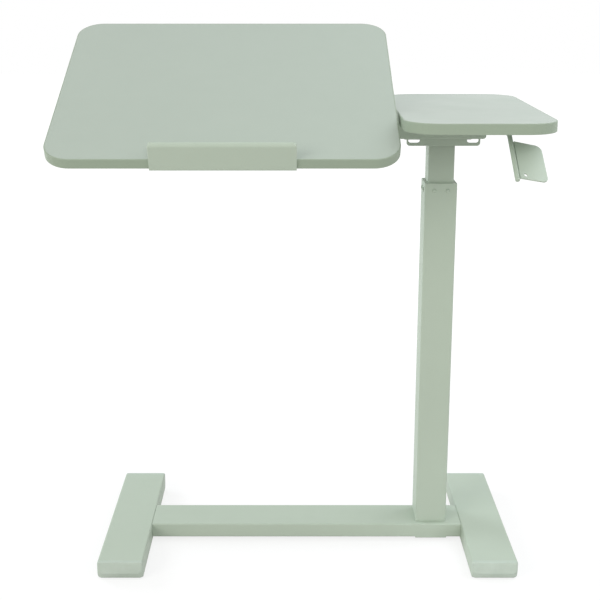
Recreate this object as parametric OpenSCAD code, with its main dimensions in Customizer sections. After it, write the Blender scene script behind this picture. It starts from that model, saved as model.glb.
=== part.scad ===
// Free-standing overbed table: a tilting main panel and a fixed side tray on a beam,
// carried by a telescopic square column with a lockable gas spring on a flat H base.
// Millimetres, +Z up, +X to the tray side, -Y to the user, floor at z = 0.

/* [Boards] */
// Width of the tilting main panel
panel_w = 510; // [420:1:620]
// Width of the fixed side tray
tray_w = 221; // [180:1:280]
// Depth of both boards, front to back
board_d = 400; // [330:1:480]
// Thickness of both boards
board_t = 16; // [13:0.5:22]
// Gap between the panel and the tray
board_gap = 4; // [2:0.5:10]
// Corner radius of the main panel
panel_r = 40; // [20:1:70]
// Corner radius of the tray
tray_r = 50; // [20:1:70]
// Thickness of the edging band round each board
edging_t = 1.5; // [1:0.1:2.5]

/* [Tilt hinge] */
// Angle at which the panel stands
panel_tilt = 25.5; // [0:0.5:60]
// Tilt axis in front of the panel's middle
pivot_fwd = 92; // [76:1:112]
// Distance of each hinge from the panel's middle
hinge_off = 130; // [100:1:160]
// Diameter of the pivot bolts
pivot_d = 10; // [8:0.5:12]
// Thickness of a hinge arm
arm_t = 5; // [4:0.5:8]
// Thickness of the brackets under the panel
bracket_t = 3; // [2:0.5:4]
// Thickness of a friction washer
washer_t = 1.5; // [1:0.1:2.5]

/* [Book stop] */
// Width of the book stop
stop_w = 208; // [120:1:300]
// Book stop to the right of the panel's middle
stop_x = 2.2; // [-20:0.1:20]
// Height of the book stop above the panel
stop_h = 26.5; // [20:0.5:50]
// Thickness of its sheet
stop_t = 2.5; // [1.5:0.1:3]
// Outer radius of its rolled top edge
roll_r = 5; // [4:0.1:7]
// Depth of its flange under the panel
stop_flange = 30; // [24:1:45]

/* [Column] */
// Width of the square outer column
column_w = 51; // [44:1:60]
// Wall of both column tubes
column_wall = 2; // [1.5:0.1:3]
// Length of the outer column
outer_l = 581; // [480:1:700]
// Length of inner column that shows as the table stands
lift_out = 61; // [40:1:120]
// Travel down from where the table stands
lift_down = 30; // [0:1:35]
// Travel up from where the table stands
lift_up = 300; // [150:1:300]
// Room for the plastic guides between the two tubes
guide_t = 3; // [2.5:0.1:4]
// Column's axis, inwards from the middle of the tray
column_inset = 35.5; // [0:0.5:44]

/* [Base] */
// Width over both feet
base_w = 664; // [560:1:800]
// Length of a foot, front to back, with its caps
foot_l = 322; // [260:1:420]
// Width of a foot
foot_w = 72; // [56:1:90]
// Height of a foot
foot_h = 29; // [24:0.5:40]
// Wall of the feet and the crossbar
base_wall = 2; // [1.5:0.1:3]
// Depth of the crossbar, front to back
crossbar_d = 70; // [62:1:90]
// Height of the crossbar's underside above the feet's
crossbar_step = 5; // [4.5:0.5:8]
// Gap between the column and the right foot
column_gap = 24.5; // [10:0.5:60]
// Thickness of an end cap outside its foot
cap_t = 7; // [5:0.5:12]
// Diameter of a glide
glide_d = 30; // [20:1:36]
// Height of a glide
glide_h = 2; // [1.5:0.5:6]

/* [Head and beam] */
// Length of the column head
head_l = 114; // [100:1:130]
// Depth over the column head's side plates
head_d = 70; // [62:1:84]
// Thickness of the column head's plates
head_t = 3; // [2:0.1:4]
// How far the column head shows below the beam
head_drop = 11; // [9:0.5:16]
// Height of the support beam
beam_h = 26; // [21:0.5:34]
// Wall of the support beam
beam_wall = 2.5; // [2:0.1:3]
// Thickness of the plate under the tray
tray_plate_t = 3; // [2.5:0.1:5]

/* [Height release] */
// Diameter of the release rod
rod_d = 7; // [6:0.5:9]
// Distance of the release rod in front of the column's axis
rod_fwd = 111.5; // [95:0.5:130]
// Length of the lever from the rod's axis
lever_l = 101; // [80:1:120]
// Slope of the lever below level
lever_slope = 36.2; // [20:0.1:45]
// Distance of the lever from the tray's right edge
lever_inset = 61; // [50:1:80]
// Squeeze of the lever, in degrees
lever_swing = 16; // [8:1:18]
// Width of the finger paddle
paddle_w = 44; // [30:1:50]
// Length of the finger paddle
paddle_l = 74; // [50:1:78]
// Thickness of the finger paddle
paddle_t = 2.5; // [1.5:0.1:3]
// Droop of the paddle to the right of the rod
paddle_droop = 13; // [0:1:25]

/* [Fits] */
// Clearance of a piece seated in another, each side
fit_clear = 0.1; // [0.05:0.05:0.3]
// Clearance of the sliding guides, each side
slide_clear = 0.2; // [0.1:0.05:0.3]
// Radial clearance of a turning shaft or pin
shaft_clear = 0.05; // [0.02:0.01:0.1]
// Radial clearance of a bolt in a plain hole
bolt_clear = 0.2; // [0.1:0.05:0.4]
// Clearance of flat faces that rub on each other
rub_clear = 0.05; // [0:0.01:0.1]

/* [Hidden] */
$fn = 64;

// Finishes
paint = "#a9b9a7";
laminate = "#b9c6bc";
edge_band = "#98a896";
cap_plastic = "#aebfb0";
zinc = "#b8bcc0";
dark_rubber = "#3a3d3b";
nylon = "#e2e4dc";
bright_steel = "#c8ccd0";

// How far a cutting shape reaches past the face it cuts
cut = 1;

// Places across the table
total_w = panel_w + board_gap + tray_w;
panel_x = (panel_w - total_w) / 2;
tray_x = (total_w - tray_w) / 2;
column_x = tray_x - column_inset;
foot_right_x = column_x + column_w / 2 + column_gap + foot_w / 2;
foot_left_x = foot_right_x + foot_w - base_w;
lever_x = total_w / 2 - lever_inset;

// Heights, from the floor up
foot_top = glide_h + foot_h;
column_top = foot_top + outer_l;
head_bottom = column_top + lift_out;
beam_bottom = head_bottom + head_drop;
beam_top = beam_bottom + beam_h;
tray_bottom = beam_top + tray_plate_t;

// Feet and crossbar
foot_r = 2.5;
cap_insert = 16;
cap_insert_wall = 2.5;
cap_low_r = min(5.5, cap_t - 1);
cap_high_r = 1.6;
glide_inset = 40;
glide_stem_d = 6;
glide_stem_l = base_wall + 5;
glide_chamfer = 1;
crossbar_l = base_w - 2 * foot_w;
crossbar_h = foot_h - crossbar_step;
crossbar_x = (foot_left_x + foot_right_x) / 2;
crossbar_bottom = foot_top - crossbar_h;
crossbar_z = foot_top - crossbar_h / 2;
crossbar_r = 2.5;
plug_l = 25;
sleeve_wall = 2;

// Bolts of the base
base_bolt_d = 8;
base_bolt_head_d = 14;
foot_bolt_y = crossbar_d / 2 - 15;
foot_bolt_grip = plug_l - 5;
column_bolt_head = 3.5;
under_t = crossbar_step - column_bolt_head;
under_w = column_w + 1;
under_r = 2.5;
under_flange = crossbar_h - 3;
access_d = 22;

// Column tubes and guides
column_r = 2.5;
column_in = column_w - 2 * column_wall;
column_plate_t = 8;
column_plate_top = foot_top + column_plate_t;
column_bolt_off = column_in / 2 - 8;
inner_w = column_in - 2 * guide_t;
inner_r = 2.5;
lower_lip = 4;
lower_guide_l = 40;
landing = 7;
inner_bottom = column_plate_top + landing + lower_lip + lift_down;
upper_guide_l = 50;
upper_guide_set = 0.8;
rivet_d = 4;
rivet_l = column_wall + 2;
rivet_head_d = 7;
rivet_dome = 2.2;
rivet_off = column_w / 2 - 15;
rivet_z = column_top - 12;

// Tilt axis, across the table
arm_r = pivot_d / 2 + 7;
arm_under_bracket = 2;
pivot_drop = arm_r + arm_under_bracket + bracket_t;
axis_y = -pivot_fwd;
axis_z = tray_bottom - pivot_drop;

// Support beam and hinge arms
beam_in = head_d + 2 * bolt_clear;
beam_d = beam_in + 2 * beam_wall;
beam_r = 3.5;
beam_bend_r = 1.5;
beam_end_r = 5;
arm_flange_w = 60;
arm_flange_t = 5;
arm_flange_r = 4;
arm_bolt_off = arm_flange_w / 2 - 10;
beam_left = panel_x - hinge_off - arm_flange_w / 2 - 10;
beam_right = column_x + head_l / 2 + 8.5;
beam_bolt_d = 6;
beam_bolt_l = 16;
beam_bolt_head_d = 11;
beam_bolt_head = 3.3;
beam_nut_af = 10;
beam_nut_h = 5;
beam_screw_x = 25;
beam_screw_y = 15;
bumper_off = 90;
bumper_d = 14;
bumper_h = tray_plate_t - 0.3;

// Rocker that presses the gas spring's pin, from the beam's top wall down
rocker_w = 5;
rocker_h = 5;
rocker_y = 18;
rocker_eye_r = 4.5;
rocker_room = 2.3;
rocker_pin_d = 4;
rocker_pin_head = 1;
rocker_z = beam_top - beam_wall - rocker_room - rocker_eye_r;
rocker_bottom = rocker_z - rocker_h / 2;
finger_l = 36;
finger_w = 10;
finger_hub_r = rod_d / 2 + 2.3;
finger_tip_r = 3;
finger_gap = 0.4;
tip_y = finger_l - rod_fwd;
tip_z = rocker_z + rocker_h / 2 + finger_gap + finger_tip_r;
rocker_swing = lever_swing * finger_l / (rocker_y - tip_y);

// Gas spring
pin_d = 4;
pin_l = 40;
pin_out = 3;
pin_gap = 0.2;
pin_travel = rocker_y * tan(rocker_swing);
pin_top = rocker_bottom - pin_gap;
stud_d = 10;
stud_nut_af = 16;
stud_nut_h = 8;
stud_l = column_plate_t + base_wall + stud_nut_h + 4;
spring_top = pin_top - pin_out;
rod_nut_h = 5.5;
cylinder_d = inner_w - 2 * column_wall - 8;
cylinder_wall = 1.5;
cylinder_base_t = 10;
cylinder_cap_t = 12;
piston_h = 12;
stroke_spare = 38;
cylinder_bore = cylinder_d - 2 * cylinder_wall;
cylinder_l = cylinder_base_t + cylinder_cap_t + piston_h + 2 * stroke_spare + lift_down + lift_up;
piston_z = column_plate_top + cylinder_base_t + stroke_spare + lift_down;

// Column head
web_top = spring_top - rod_nut_h - 0.5;
web_bottom = web_top - head_t;
web_l = head_l - 14;
head_top = beam_top - beam_wall - 2.5;
head_r = 5;
head_slot_l = 18;
head_slot_h = 8;
head_slot_x = head_l / 2 - 11.5;
head_slot_z = head_bottom + 8.8;
head_bolt_x = 40;
head_bolt_z = head_top - 6;
lug_t = 3;
lug_gap = 0.5;
lug_r = 6;
lug_x = rocker_w / 2 + lug_gap + lug_t / 2;
window_w = rocker_w + 3;
window_z = rocker_bottom - (rocker_y + beam_d / 2) * tan(rocker_swing) - 1.5;
window_top = rocker_z + rocker_h / 2 + 1.8;

// Wood screws
wood_screw_d = 4;
wood_screw_head_d = 7;
wood_screw_head = 2.4;
board_bite = board_t - 5;

// Release rod, its saddles and the tray plate
rod_drop = rod_d / 2 + 2.5;
rod_y = -rod_fwd;
rod_z = tray_bottom - rod_drop;
rod_left = column_x - finger_w / 2 - 3;
bend_r = 12;
saddle_w = 12;
saddle_d = 28;
saddle_r = 4;
saddle_under = rod_d / 2 + 1.2;
saddle_left_x = column_x + finger_w / 2 + lug_gap + saddle_w / 2;
saddle_right_x = lever_x - bend_r - 1 - saddle_w / 2;
saddle_screw_off = saddle_d / 2 - 5;
saddle_sink = 3;
tray_plate_w = 110;
tray_plate_d = 2 * (rod_fwd - saddle_d / 2 - 17.5);
tray_plate_r = 8;
tray_screw_x = tray_plate_w / 2 - 10;
tray_screw_y = tray_plate_d / 2 - 15;
paddle_end = 5.5;
paddle_upper_r = 15;
paddle_lower_r = 7;
paddle_hole_d = 5.5;
paddle_hole_x = 10.5;
paddle_hole_y = 8;

// Panel brackets, in the panel's own frame about the tilt axis
front_s = pivot_fwd - board_d / 2;
ear_in = arm_t / 2 + washer_t + 2 * rub_clear;
ear_out = ear_in + bracket_t;
ear_r = arm_r - 1;
bracket_w = 44;
bracket_front = -35;
bracket_rear = 45;
bracket_screw_x = bracket_w / 2 - 7;
bracket_screw_inset = 10;
washer_d = 2 * ear_r;
pivot_af = 17;
pivot_head = 6.4;
lock_nut_h = 10;

// Book stop, in the panel's own frame
stop_s = front_s - stop_t;
stop_n = pivot_drop - stop_t;
stop_top = pivot_drop + board_t + stop_h;
stop_bend_r = 3;
roll_s = stop_s + roll_r;
roll_n = stop_top - roll_r;
stop_screw_x = stop_w / 2 - 24;
stop_screw_s = front_s + (stop_flange - stop_t) / 2;

// Shift that puts the origin under the middle of the whole table
front_y = axis_y + roll_s * cos(panel_tilt) - roll_n * sin(panel_tilt) - roll_r;
frame_y = -(front_y + board_d / 2) / 2;

function side_name(side) = side < 0 ? "left" : "right";
function end_name(end) = end < 0 ? "front" : "rear";
function foot_x(side) = side < 0 ? foot_left_x : foot_right_x;
function hinge_x(side) = panel_x + side * hinge_off;
function saddle_x(side) = side < 0 ? saddle_left_x : saddle_right_x;

// Puts pieces drawn about the column's axis into the table's frame
module placed() translate([0, frame_y, 0]) children();

// Puts pieces drawn about the tilt axis, with the panel level, at the panel's tilt
module on_panel() placed() translate([panel_x, axis_y, axis_z]) rotate([panel_tilt, 0, 0]) children();

// Puts pieces drawn with the lever level, about the rod's axis, at the lever's slope
module on_lever() placed() translate([0, rod_y, rod_z]) rotate([lever_slope, 0, 0]) children();

// Extrudes an outline drawn in (y, z) along X, centred on x = 0
module across(w) rotate([90, 0, 90]) linear_extrude(w, center = true) children();

// Extrudes an outline drawn in (x, z) along Y, centred on y = 0
module along(d) rotate([90, 0, 0]) linear_extrude(d, center = true) children();

module rounded_rect(w, d, r) {
    square([w - 2 * r, d], center = true);
    square([w, d - 2 * r], center = true);
    for (x = [-1, 1], y = [-1, 1]) translate([x * (w / 2 - r), y * (d / 2 - r)]) circle(r);
}

module tube_profile(w, d, r, wall) difference() {
    rounded_rect(w, d, r);
    rounded_rect(w - 2 * wall, d - 2 * wall, max(r - wall, 0.3));
}

// The waste outside a corner of radius r, for a corner at the origin
module corner_waste(r) difference() {
    translate([-cut, -cut]) square(r + cut);
    translate([r, r]) circle(r);
}

// The room inside a foot's tube
module foot_inside(side) translate([foot_x(side), 0, glide_h + foot_h / 2])
    along(foot_l) rounded_rect(foot_w - 2 * base_wall, foot_h - 2 * base_wall, foot_r - base_wall);

// Screw with its shank up +Z and its round head under the seat at z = 0
module screw(d, l, head_d, head_h) {
    cylinder(d = d, h = l);
    translate([0, 0, -head_h]) cylinder(d = head_d, h = head_h);
}

module wood_screw(l) screw(wood_screw_d, l, wood_screw_head_d, wood_screw_head);

module base_bolt(l, head_h) screw(base_bolt_d, l, base_bolt_head_d, head_h);

// Countersunk head, flush with a face at z = 0 and narrowing up +Z; with room c it is the cut for it
module sunk_head(c = 0) {
    reach = c > 0 ? cut : 0;
    translate([0, 0, -reach]) cylinder(d1 = base_bolt_head_d + 2 * (c + reach), d2 = base_bolt_d + 2 * c,
        h = (base_bolt_head_d - base_bolt_d) / 2 + reach);
}

module beam_bolt() screw(beam_bolt_d, beam_bolt_l, beam_bolt_head_d, beam_bolt_head);

module hexagon(af, h) cylinder(d = af / cos(30), h = h, $fn = 6);

module nut(d, af, h) difference() {
    hexagon(af, h);
    hole(d + 2 * shaft_clear, h);
}

// Upright hole from z = 0 through a depth of h
module hole(d, h) translate([0, 0, -cut]) cylinder(d = d, h = h + 2 * cut);

module at_column_bolts() for (x = [-1, 1], y = [-1, 1])
    translate([column_x + x * column_bolt_off, y * column_bolt_off, 0]) children();

module at_foot_bolts(side) for (y = [-1, 1])
    translate([foot_x(side), y * foot_bolt_y, crossbar_z]) rotate([0, -side * 90, 0]) children();

module at_tray_screws() for (x = [-1, 1], y = [-1, 1])
    translate([column_x + x * tray_screw_x, y * tray_screw_y, beam_top]) children();

module at_beam_screws() for (x = [-1, 1], y = [-1, 1])
    translate([column_x + x * beam_screw_x, y * beam_screw_y, beam_top - beam_wall]) children();

module at_saddle_screws(side) for (y = [-1, 1])
    translate([saddle_x(side), rod_y + y * saddle_screw_off, rod_z - saddle_under]) children();

module at_rivets() for (a = [0 : 90 : 270], x = [-1, 1])
    translate([column_x, 0, rivet_z]) rotate([0, 0, a])
        translate([x * rivet_off, -column_w / 2, 0]) rotate([90, 0, 0]) children();

// Bolts through the head's side plates; the shank's +Z runs inwards from the beam's face
module at_head_bolts() for (x = [-1, 1], y = [-1, 1])
    translate([column_x + x * head_bolt_x, y * beam_d / 2, head_bolt_z]) rotate([y * 90, 0, 0]) children();

// Bolts through the hinge arms' flanges; the shank's +Z runs inwards from the beam's face
module at_arm_bolts() for (side = [-1, 1], x = [-1, 1])
    translate([hinge_x(side) + x * arm_bolt_off, -beam_d / 2, axis_z]) rotate([-90, 0, 0]) children();

module at_bracket_screws(side)
    for (x = [-1, 1], s = [bracket_front + bracket_screw_inset, bracket_rear - bracket_screw_inset])
        translate([side * hinge_off + x * bracket_screw_x, s, pivot_drop - bracket_t]) children();

module at_stop_screws() for (x = [-1, 0, 1])
    translate([stop_x + x * stop_screw_x, stop_screw_s, stop_n]) children();

// Base

module foot(side) color(paint) placed() difference() {
    translate([foot_x(side), 0, glide_h + foot_h / 2])
        along(foot_l - 2 * cap_t) tube_profile(foot_w, foot_h, foot_r, base_wall);
    at_foot_bolts(side) translate([0, 0, -foot_w / 2]) {
        hole(base_bolt_d + 2 * bolt_clear, foot_w);
        sunk_head(fit_clear);
    }
    for (end = [-1, 1]) translate([foot_x(side), end * (foot_l / 2 - glide_inset), glide_h])
        hole(glide_stem_d + 2 * fit_clear, base_wall);
}

module cap_side_outline() difference() {
    square([cap_t, foot_h]);
    corner_waste(cap_low_r);
    translate([0, foot_h]) mirror([0, 1]) corner_waste(cap_high_r);
}

module cap_insert_outline() {
    inset = base_wall + fit_clear;
    tube_profile(foot_w - 2 * inset, foot_h - 2 * inset, foot_r - base_wall, cap_insert_wall);
}

module foot_cap(side, end) color(cap_plastic) placed()
    translate([foot_x(side), end * foot_l / 2, glide_h]) rotate([0, 0, end < 0 ? 0 : 180]) {
        intersection() {
            across(foot_w) cap_side_outline();
            translate([0, cap_t / 2, foot_h / 2]) along(cap_t) rounded_rect(foot_w, foot_h, foot_r);
        }
        translate([0, cap_t + cap_insert / 2, foot_h / 2]) along(cap_insert) cap_insert_outline();
    }

module glide(side, end) color(dark_rubber) placed()
    translate([foot_x(side), end * (foot_l / 2 - glide_inset), 0]) {
        cylinder(d1 = glide_d - 2 * glide_chamfer, d2 = glide_d, h = glide_chamfer);
        translate([0, 0, glide_chamfer]) cylinder(d = glide_d, h = glide_h - glide_chamfer);
        translate([0, 0, glide_h]) cylinder(d = glide_stem_d, h = glide_stem_l);
    }

module crossbar() color(paint) placed() difference() {
    translate([crossbar_x, 0, crossbar_z])
        across(crossbar_l) tube_profile(crossbar_d, crossbar_h, crossbar_r, base_wall);
    at_column_bolts() translate([0, 0, crossbar_bottom]) hole(base_bolt_d + 2 * bolt_clear, crossbar_h);
    translate([column_x, 0, foot_top - base_wall]) hole(stud_d + 2 * bolt_clear, base_wall);
    translate([column_x, 0, crossbar_bottom]) hole(access_d, base_wall);
}

module crossbar_plug(side) color(zinc) placed() {
    inset = base_wall + fit_clear;
    difference() {
        translate([crossbar_x + side * (crossbar_l - plug_l) / 2, 0, crossbar_z]) across(plug_l)
            rounded_rect(crossbar_d - 2 * inset, crossbar_h - 2 * inset, crossbar_r - base_wall);
        at_foot_bolts(side) hole(base_bolt_d + 2 * shaft_clear, foot_w / 2 + plug_l);
    }
}

module foot_bolts() color(zinc) placed() for (side = [-1, 1])
    at_foot_bolts(side) translate([0, 0, -foot_w / 2]) {
        cylinder(d = base_bolt_d, h = foot_w + foot_bolt_grip);
        sunk_head();
    }

module sleeve(l) difference() {
    cylinder(d = base_bolt_d + 2 * (bolt_clear + sleeve_wall), h = l);
    hole(base_bolt_d + 2 * bolt_clear, l);
}

module foot_sleeves() color(zinc) placed() for (side = [-1, 1]) intersection() {
    at_foot_bolts(side) translate([0, 0, -foot_w / 2]) difference() {
        translate([0, 0, base_wall]) sleeve(foot_w - 2 * base_wall);
        sunk_head(fit_clear);
    }
    foot_inside(side);
}

// Strip bent up in front of and behind the crossbar
module under_outline() difference() {
    inside = crossbar_d / 2 + fit_clear;
    translate([-inside - under_t, crossbar_bottom - under_t])
        square([2 * (inside + under_t), under_t + under_flange]);
    translate([-inside, crossbar_bottom]) square([2 * inside, under_flange + cut]);
    translate([-inside - under_t, crossbar_bottom - under_t]) corner_waste(under_r);
    translate([inside + under_t, crossbar_bottom - under_t]) mirror([1, 0]) corner_waste(under_r);
}

module under_plate() color(paint) placed() difference() {
    translate([column_x, 0, 0]) across(under_w) under_outline();
    at_column_bolts() translate([0, 0, crossbar_bottom - under_t])
        hole(base_bolt_d + 2 * bolt_clear, under_t);
    translate([column_x, 0, crossbar_bottom - under_t]) hole(access_d, under_t);
}

module column_sleeves() color(zinc) placed()
    at_column_bolts() translate([0, 0, crossbar_bottom + base_wall]) sleeve(crossbar_h - 2 * base_wall);

module column_bolts() color(zinc) placed()
    at_column_bolts() translate([0, 0, crossbar_bottom - under_t])
        base_bolt(under_t + crossbar_h + column_plate_t - 1, column_bolt_head);

module column_foot_plate() color(paint) placed() difference() {
    translate([column_x, 0, foot_top]) linear_extrude(column_plate_t)
        rounded_rect(column_in - 2 * fit_clear, column_in - 2 * fit_clear, column_r - column_wall);
    at_column_bolts() translate([0, 0, foot_top]) hole(base_bolt_d + 2 * shaft_clear, column_plate_t);
    translate([column_x, 0, foot_top]) hole(stud_d + 2 * bolt_clear, column_plate_t);
}

module outer_column() color(paint) placed() difference() {
    translate([column_x, 0, foot_top]) linear_extrude(outer_l)
        tube_profile(column_w, column_w, column_r, column_wall);
    at_rivets() translate([0, 0, -column_wall]) hole(rivet_d + 2 * fit_clear, column_wall);
}

module upper_guide() color(nylon) placed() difference() {
    outer = column_in - 2 * fit_clear;
    bore = inner_w + 2 * slide_clear;
    translate([column_x, 0, column_top - upper_guide_set - upper_guide_l]) linear_extrude(upper_guide_l)
        difference() {
            rounded_rect(outer, outer, column_r - column_wall);
            rounded_rect(bore, bore, inner_r + slide_clear);
        }
    at_rivets() translate([0, 0, -column_wall - guide_t])
        hole(rivet_d + 2 * fit_clear, column_wall + guide_t);
}

module guide_rivets() color(zinc) placed() {
    dome_r = (rivet_head_d ^ 2 / 4 + rivet_dome ^ 2) / (2 * rivet_dome);
    at_rivets() {
        intersection() {
            translate([0, 0, rivet_dome - dome_r]) sphere(dome_r);
            cylinder(d = rivet_head_d + cut, h = rivet_dome + cut);
        }
        translate([0, 0, -rivet_l]) cylinder(d = rivet_d, h = rivet_l);
    }
}

module gas_spring_cylinder() color(dark_rubber) placed() translate([column_x, 0, column_plate_top]) {
    bore_l = cylinder_l - cylinder_base_t - cylinder_cap_t;
    difference() {
        cylinder(d = cylinder_d, h = cylinder_l);
        translate([0, 0, cylinder_base_t]) cylinder(d = cylinder_bore, h = bore_l);
        translate([0, 0, cylinder_l - cylinder_cap_t]) hole(stud_d + 2 * shaft_clear, cylinder_cap_t);
    }
    translate([0, 0, -stud_l]) cylinder(d = stud_d, h = stud_l);
}

module gas_spring_nut() color(zinc) placed()
    translate([column_x, 0, foot_top - base_wall - stud_nut_h]) nut(stud_d, stud_nut_af, stud_nut_h);

// Lift

module inner_column() color(paint) placed() translate([column_x, 0, inner_bottom])
    linear_extrude(web_bottom - inner_bottom) tube_profile(inner_w, inner_w, inner_r, column_wall);

module lower_guide() color(nylon) placed() translate([column_x, 0, inner_bottom]) {
    outer = column_in - 2 * slide_clear;
    bore = inner_w + 2 * fit_clear;
    linear_extrude(lower_guide_l) difference() {
        rounded_rect(outer, outer, column_r - column_wall);
        rounded_rect(bore, bore, inner_r + fit_clear);
    }
    translate([0, 0, -lower_lip]) linear_extrude(lower_lip) difference() {
        rounded_rect(outer, outer, column_r - column_wall);
        circle(d = cylinder_d + 3);
    }
}

module gas_spring_rod() color(bright_steel) placed() translate([column_x, 0, 0]) difference() {
    union() {
        translate([0, 0, piston_z]) cylinder(d = stud_d, h = spring_top - piston_z);
        translate([0, 0, piston_z]) cylinder(d = cylinder_bore - 2 * shaft_clear, h = piston_h);
    }
    translate([0, 0, pin_top - pin_l - pin_travel - cut])
        cylinder(d = pin_d + 2 * shaft_clear, h = pin_l + pin_travel + 2 * cut);
}

module rod_nuts() color(zinc) placed() for (z = [web_top, web_bottom - rod_nut_h])
    translate([column_x, 0, z]) nut(stud_d, stud_nut_af, rod_nut_h);

module head_plate_outline() difference() {
    translate([-head_l / 2, head_bottom]) square([head_l, head_top - head_bottom]);
    translate([-head_l / 2, head_bottom]) corner_waste(head_r);
    translate([head_l / 2, head_bottom]) mirror([1, 0]) corner_waste(head_r);
    for (side = [-1, 1]) translate([side * head_slot_x, head_slot_z]) {
        square([head_slot_l - head_slot_h, head_slot_h], center = true);
        for (x = [-1, 1]) translate([x * (head_slot_l - head_slot_h) / 2, 0]) circle(d = head_slot_h);
    }
}

module lug_outline() {
    translate([rocker_y, rocker_z]) circle(lug_r);
    translate([rocker_y - lug_r, web_top]) square([2 * lug_r, rocker_z - web_top]);
}

module column_head() color(paint) placed() difference() {
    translate([column_x, 0, 0]) {
        for (y = [-1, 1]) translate([0, y * (head_d - head_t) / 2, 0])
            along(head_t) head_plate_outline();
        translate([-web_l / 2, head_t - head_d / 2, web_bottom])
            cube([web_l, head_d - 2 * head_t, head_t]);
        for (x = [-1, 1]) translate([x * lug_x, 0, 0]) across(lug_t) lug_outline();
    }
    translate([column_x, 0, web_bottom]) hole(stud_d + 2 * bolt_clear, head_t);
    at_head_bolts() hole(beam_bolt_d + 2 * bolt_clear, beam_wall + bolt_clear + head_t);
    translate([column_x, rocker_y, rocker_z]) rotate([0, 90, 0])
        cylinder(d = rocker_pin_d + 2 * shaft_clear, h = 2 * (lug_x + lug_t), center = true);
    translate([column_x - window_w / 2, -head_d / 2 - cut, window_z])
        cube([window_w, head_t + 2 * cut, head_top]);
}

module beam_outline() difference() {
    translate([-beam_d / 2, beam_bottom]) square([beam_d, beam_h]);
    translate([-beam_in / 2, beam_bottom - cut]) square([beam_in, beam_h - beam_wall + cut - beam_bend_r]);
    translate([-beam_in / 2 + beam_bend_r, beam_bottom])
        square([beam_in - 2 * beam_bend_r, beam_h - beam_wall]);
    for (y = [-1, 1]) {
        translate([y * (beam_in / 2 - beam_bend_r), beam_top - beam_wall - beam_bend_r])
            circle(beam_bend_r);
        translate([y * beam_d / 2, beam_top]) rotate(y < 0 ? -90 : 180) corner_waste(beam_r);
    }
}

module support_beam() color(paint) placed() difference() {
    translate([(beam_left + beam_right) / 2, 0, 0]) across(beam_right - beam_left) beam_outline();
    at_head_bolts() hole(beam_bolt_d + 2 * bolt_clear, beam_wall);
    at_arm_bolts() hole(beam_bolt_d + 2 * bolt_clear, beam_wall);
    at_beam_screws() hole(beam_bolt_d + 2 * bolt_clear, beam_wall);
    translate([column_x - window_w / 2, -beam_d / 2 - cut, window_z])
        cube([window_w, beam_wall + 2 * cut, window_top - window_z]);
    along(beam_d + 2 * cut) {
        translate([beam_left, beam_bottom]) corner_waste(beam_end_r);
        translate([beam_right, beam_bottom]) mirror([1, 0]) corner_waste(beam_end_r);
    }
}

module hinge_arm(side) color(paint) placed() difference() {
    bar_l = -beam_d / 2 - axis_y;
    union() {
        translate([hinge_x(side), axis_y, axis_z]) across(arm_t) {
            circle(arm_r);
            translate([0, -arm_r]) square([bar_l - arm_flange_t, 2 * arm_r]);
        }
        translate([hinge_x(side), -(beam_d + arm_flange_t) / 2, axis_z])
            along(arm_flange_t) rounded_rect(arm_flange_w, 2 * arm_r, arm_flange_r);
    }
    translate([hinge_x(side), axis_y, axis_z]) rotate([0, 90, 0])
        cylinder(d = pivot_d + 2 * shaft_clear, h = arm_t + 2 * cut, center = true);
    at_arm_bolts() translate([0, 0, -arm_flange_t]) hole(beam_bolt_d + 2 * bolt_clear, arm_flange_t);
}

module beam_bolts() color(zinc) placed() {
    at_head_bolts() beam_bolt();
    at_arm_bolts() translate([0, 0, -arm_flange_t]) beam_bolt();
}

module beam_nuts() color(zinc) placed() {
    at_head_bolts() translate([0, 0, beam_wall + bolt_clear + head_t])
        nut(beam_bolt_d, beam_nut_af, beam_nut_h);
    at_arm_bolts() translate([0, 0, beam_wall]) nut(beam_bolt_d, beam_nut_af, beam_nut_h);
}

module bumper(side) color(dark_rubber) placed()
    translate([panel_x + side * bumper_off, 0, beam_top]) cylinder(d = bumper_d, h = bumper_h);

module tray_plate() color(paint) placed() difference() {
    translate([column_x, 0, beam_top]) linear_extrude(tray_plate_t)
        rounded_rect(tray_plate_w, tray_plate_d, tray_plate_r);
    at_tray_screws() hole(wood_screw_d + 2 * bolt_clear, tray_plate_t);
    at_beam_screws() translate([0, 0, beam_wall]) hole(beam_bolt_d + 2 * shaft_clear, tray_plate_t);
}

module tray_screws() color(zinc) placed() at_tray_screws() wood_screw(tray_plate_t + board_bite);

module beam_screws() color(zinc) placed()
    at_beam_screws() screw(beam_bolt_d, beam_wall + tray_plate_t - 0.5, beam_bolt_head_d, beam_bolt_head);

// Board w wide with corners of radius r, less the edging round it
module board_core(w, r) linear_extrude(board_t)
    rounded_rect(w - 2 * edging_t, board_d - 2 * edging_t, r - edging_t);

module edging_ring(w, r) linear_extrude(board_t) tube_profile(w, board_d, r, edging_t);

module tray_board() color(laminate) placed() difference() {
    translate([tray_x, 0, tray_bottom]) board_core(tray_w, tray_r);
    at_tray_screws() translate([0, 0, tray_plate_t - cut])
        cylinder(d = wood_screw_d + 2 * shaft_clear, h = board_bite + 2 * cut);
    for (side = [-1, 1]) at_saddle_screws(side) translate([0, 0, saddle_under])
        cylinder(d = wood_screw_d + 2 * shaft_clear, h = rod_drop + board_bite + cut);
}

module tray_edging() color(edge_band) placed()
    translate([tray_x, 0, tray_bottom]) edging_ring(tray_w, tray_r);

module saddle_outline() difference() {
    translate([-saddle_d / 2, -saddle_under]) square([saddle_d, saddle_under + rod_drop]);
    translate([-saddle_d / 2, -saddle_under]) corner_waste(saddle_r);
    translate([saddle_d / 2, -saddle_under]) mirror([1, 0]) corner_waste(saddle_r);
    circle(d = rod_d + 2 * shaft_clear);
}

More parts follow.
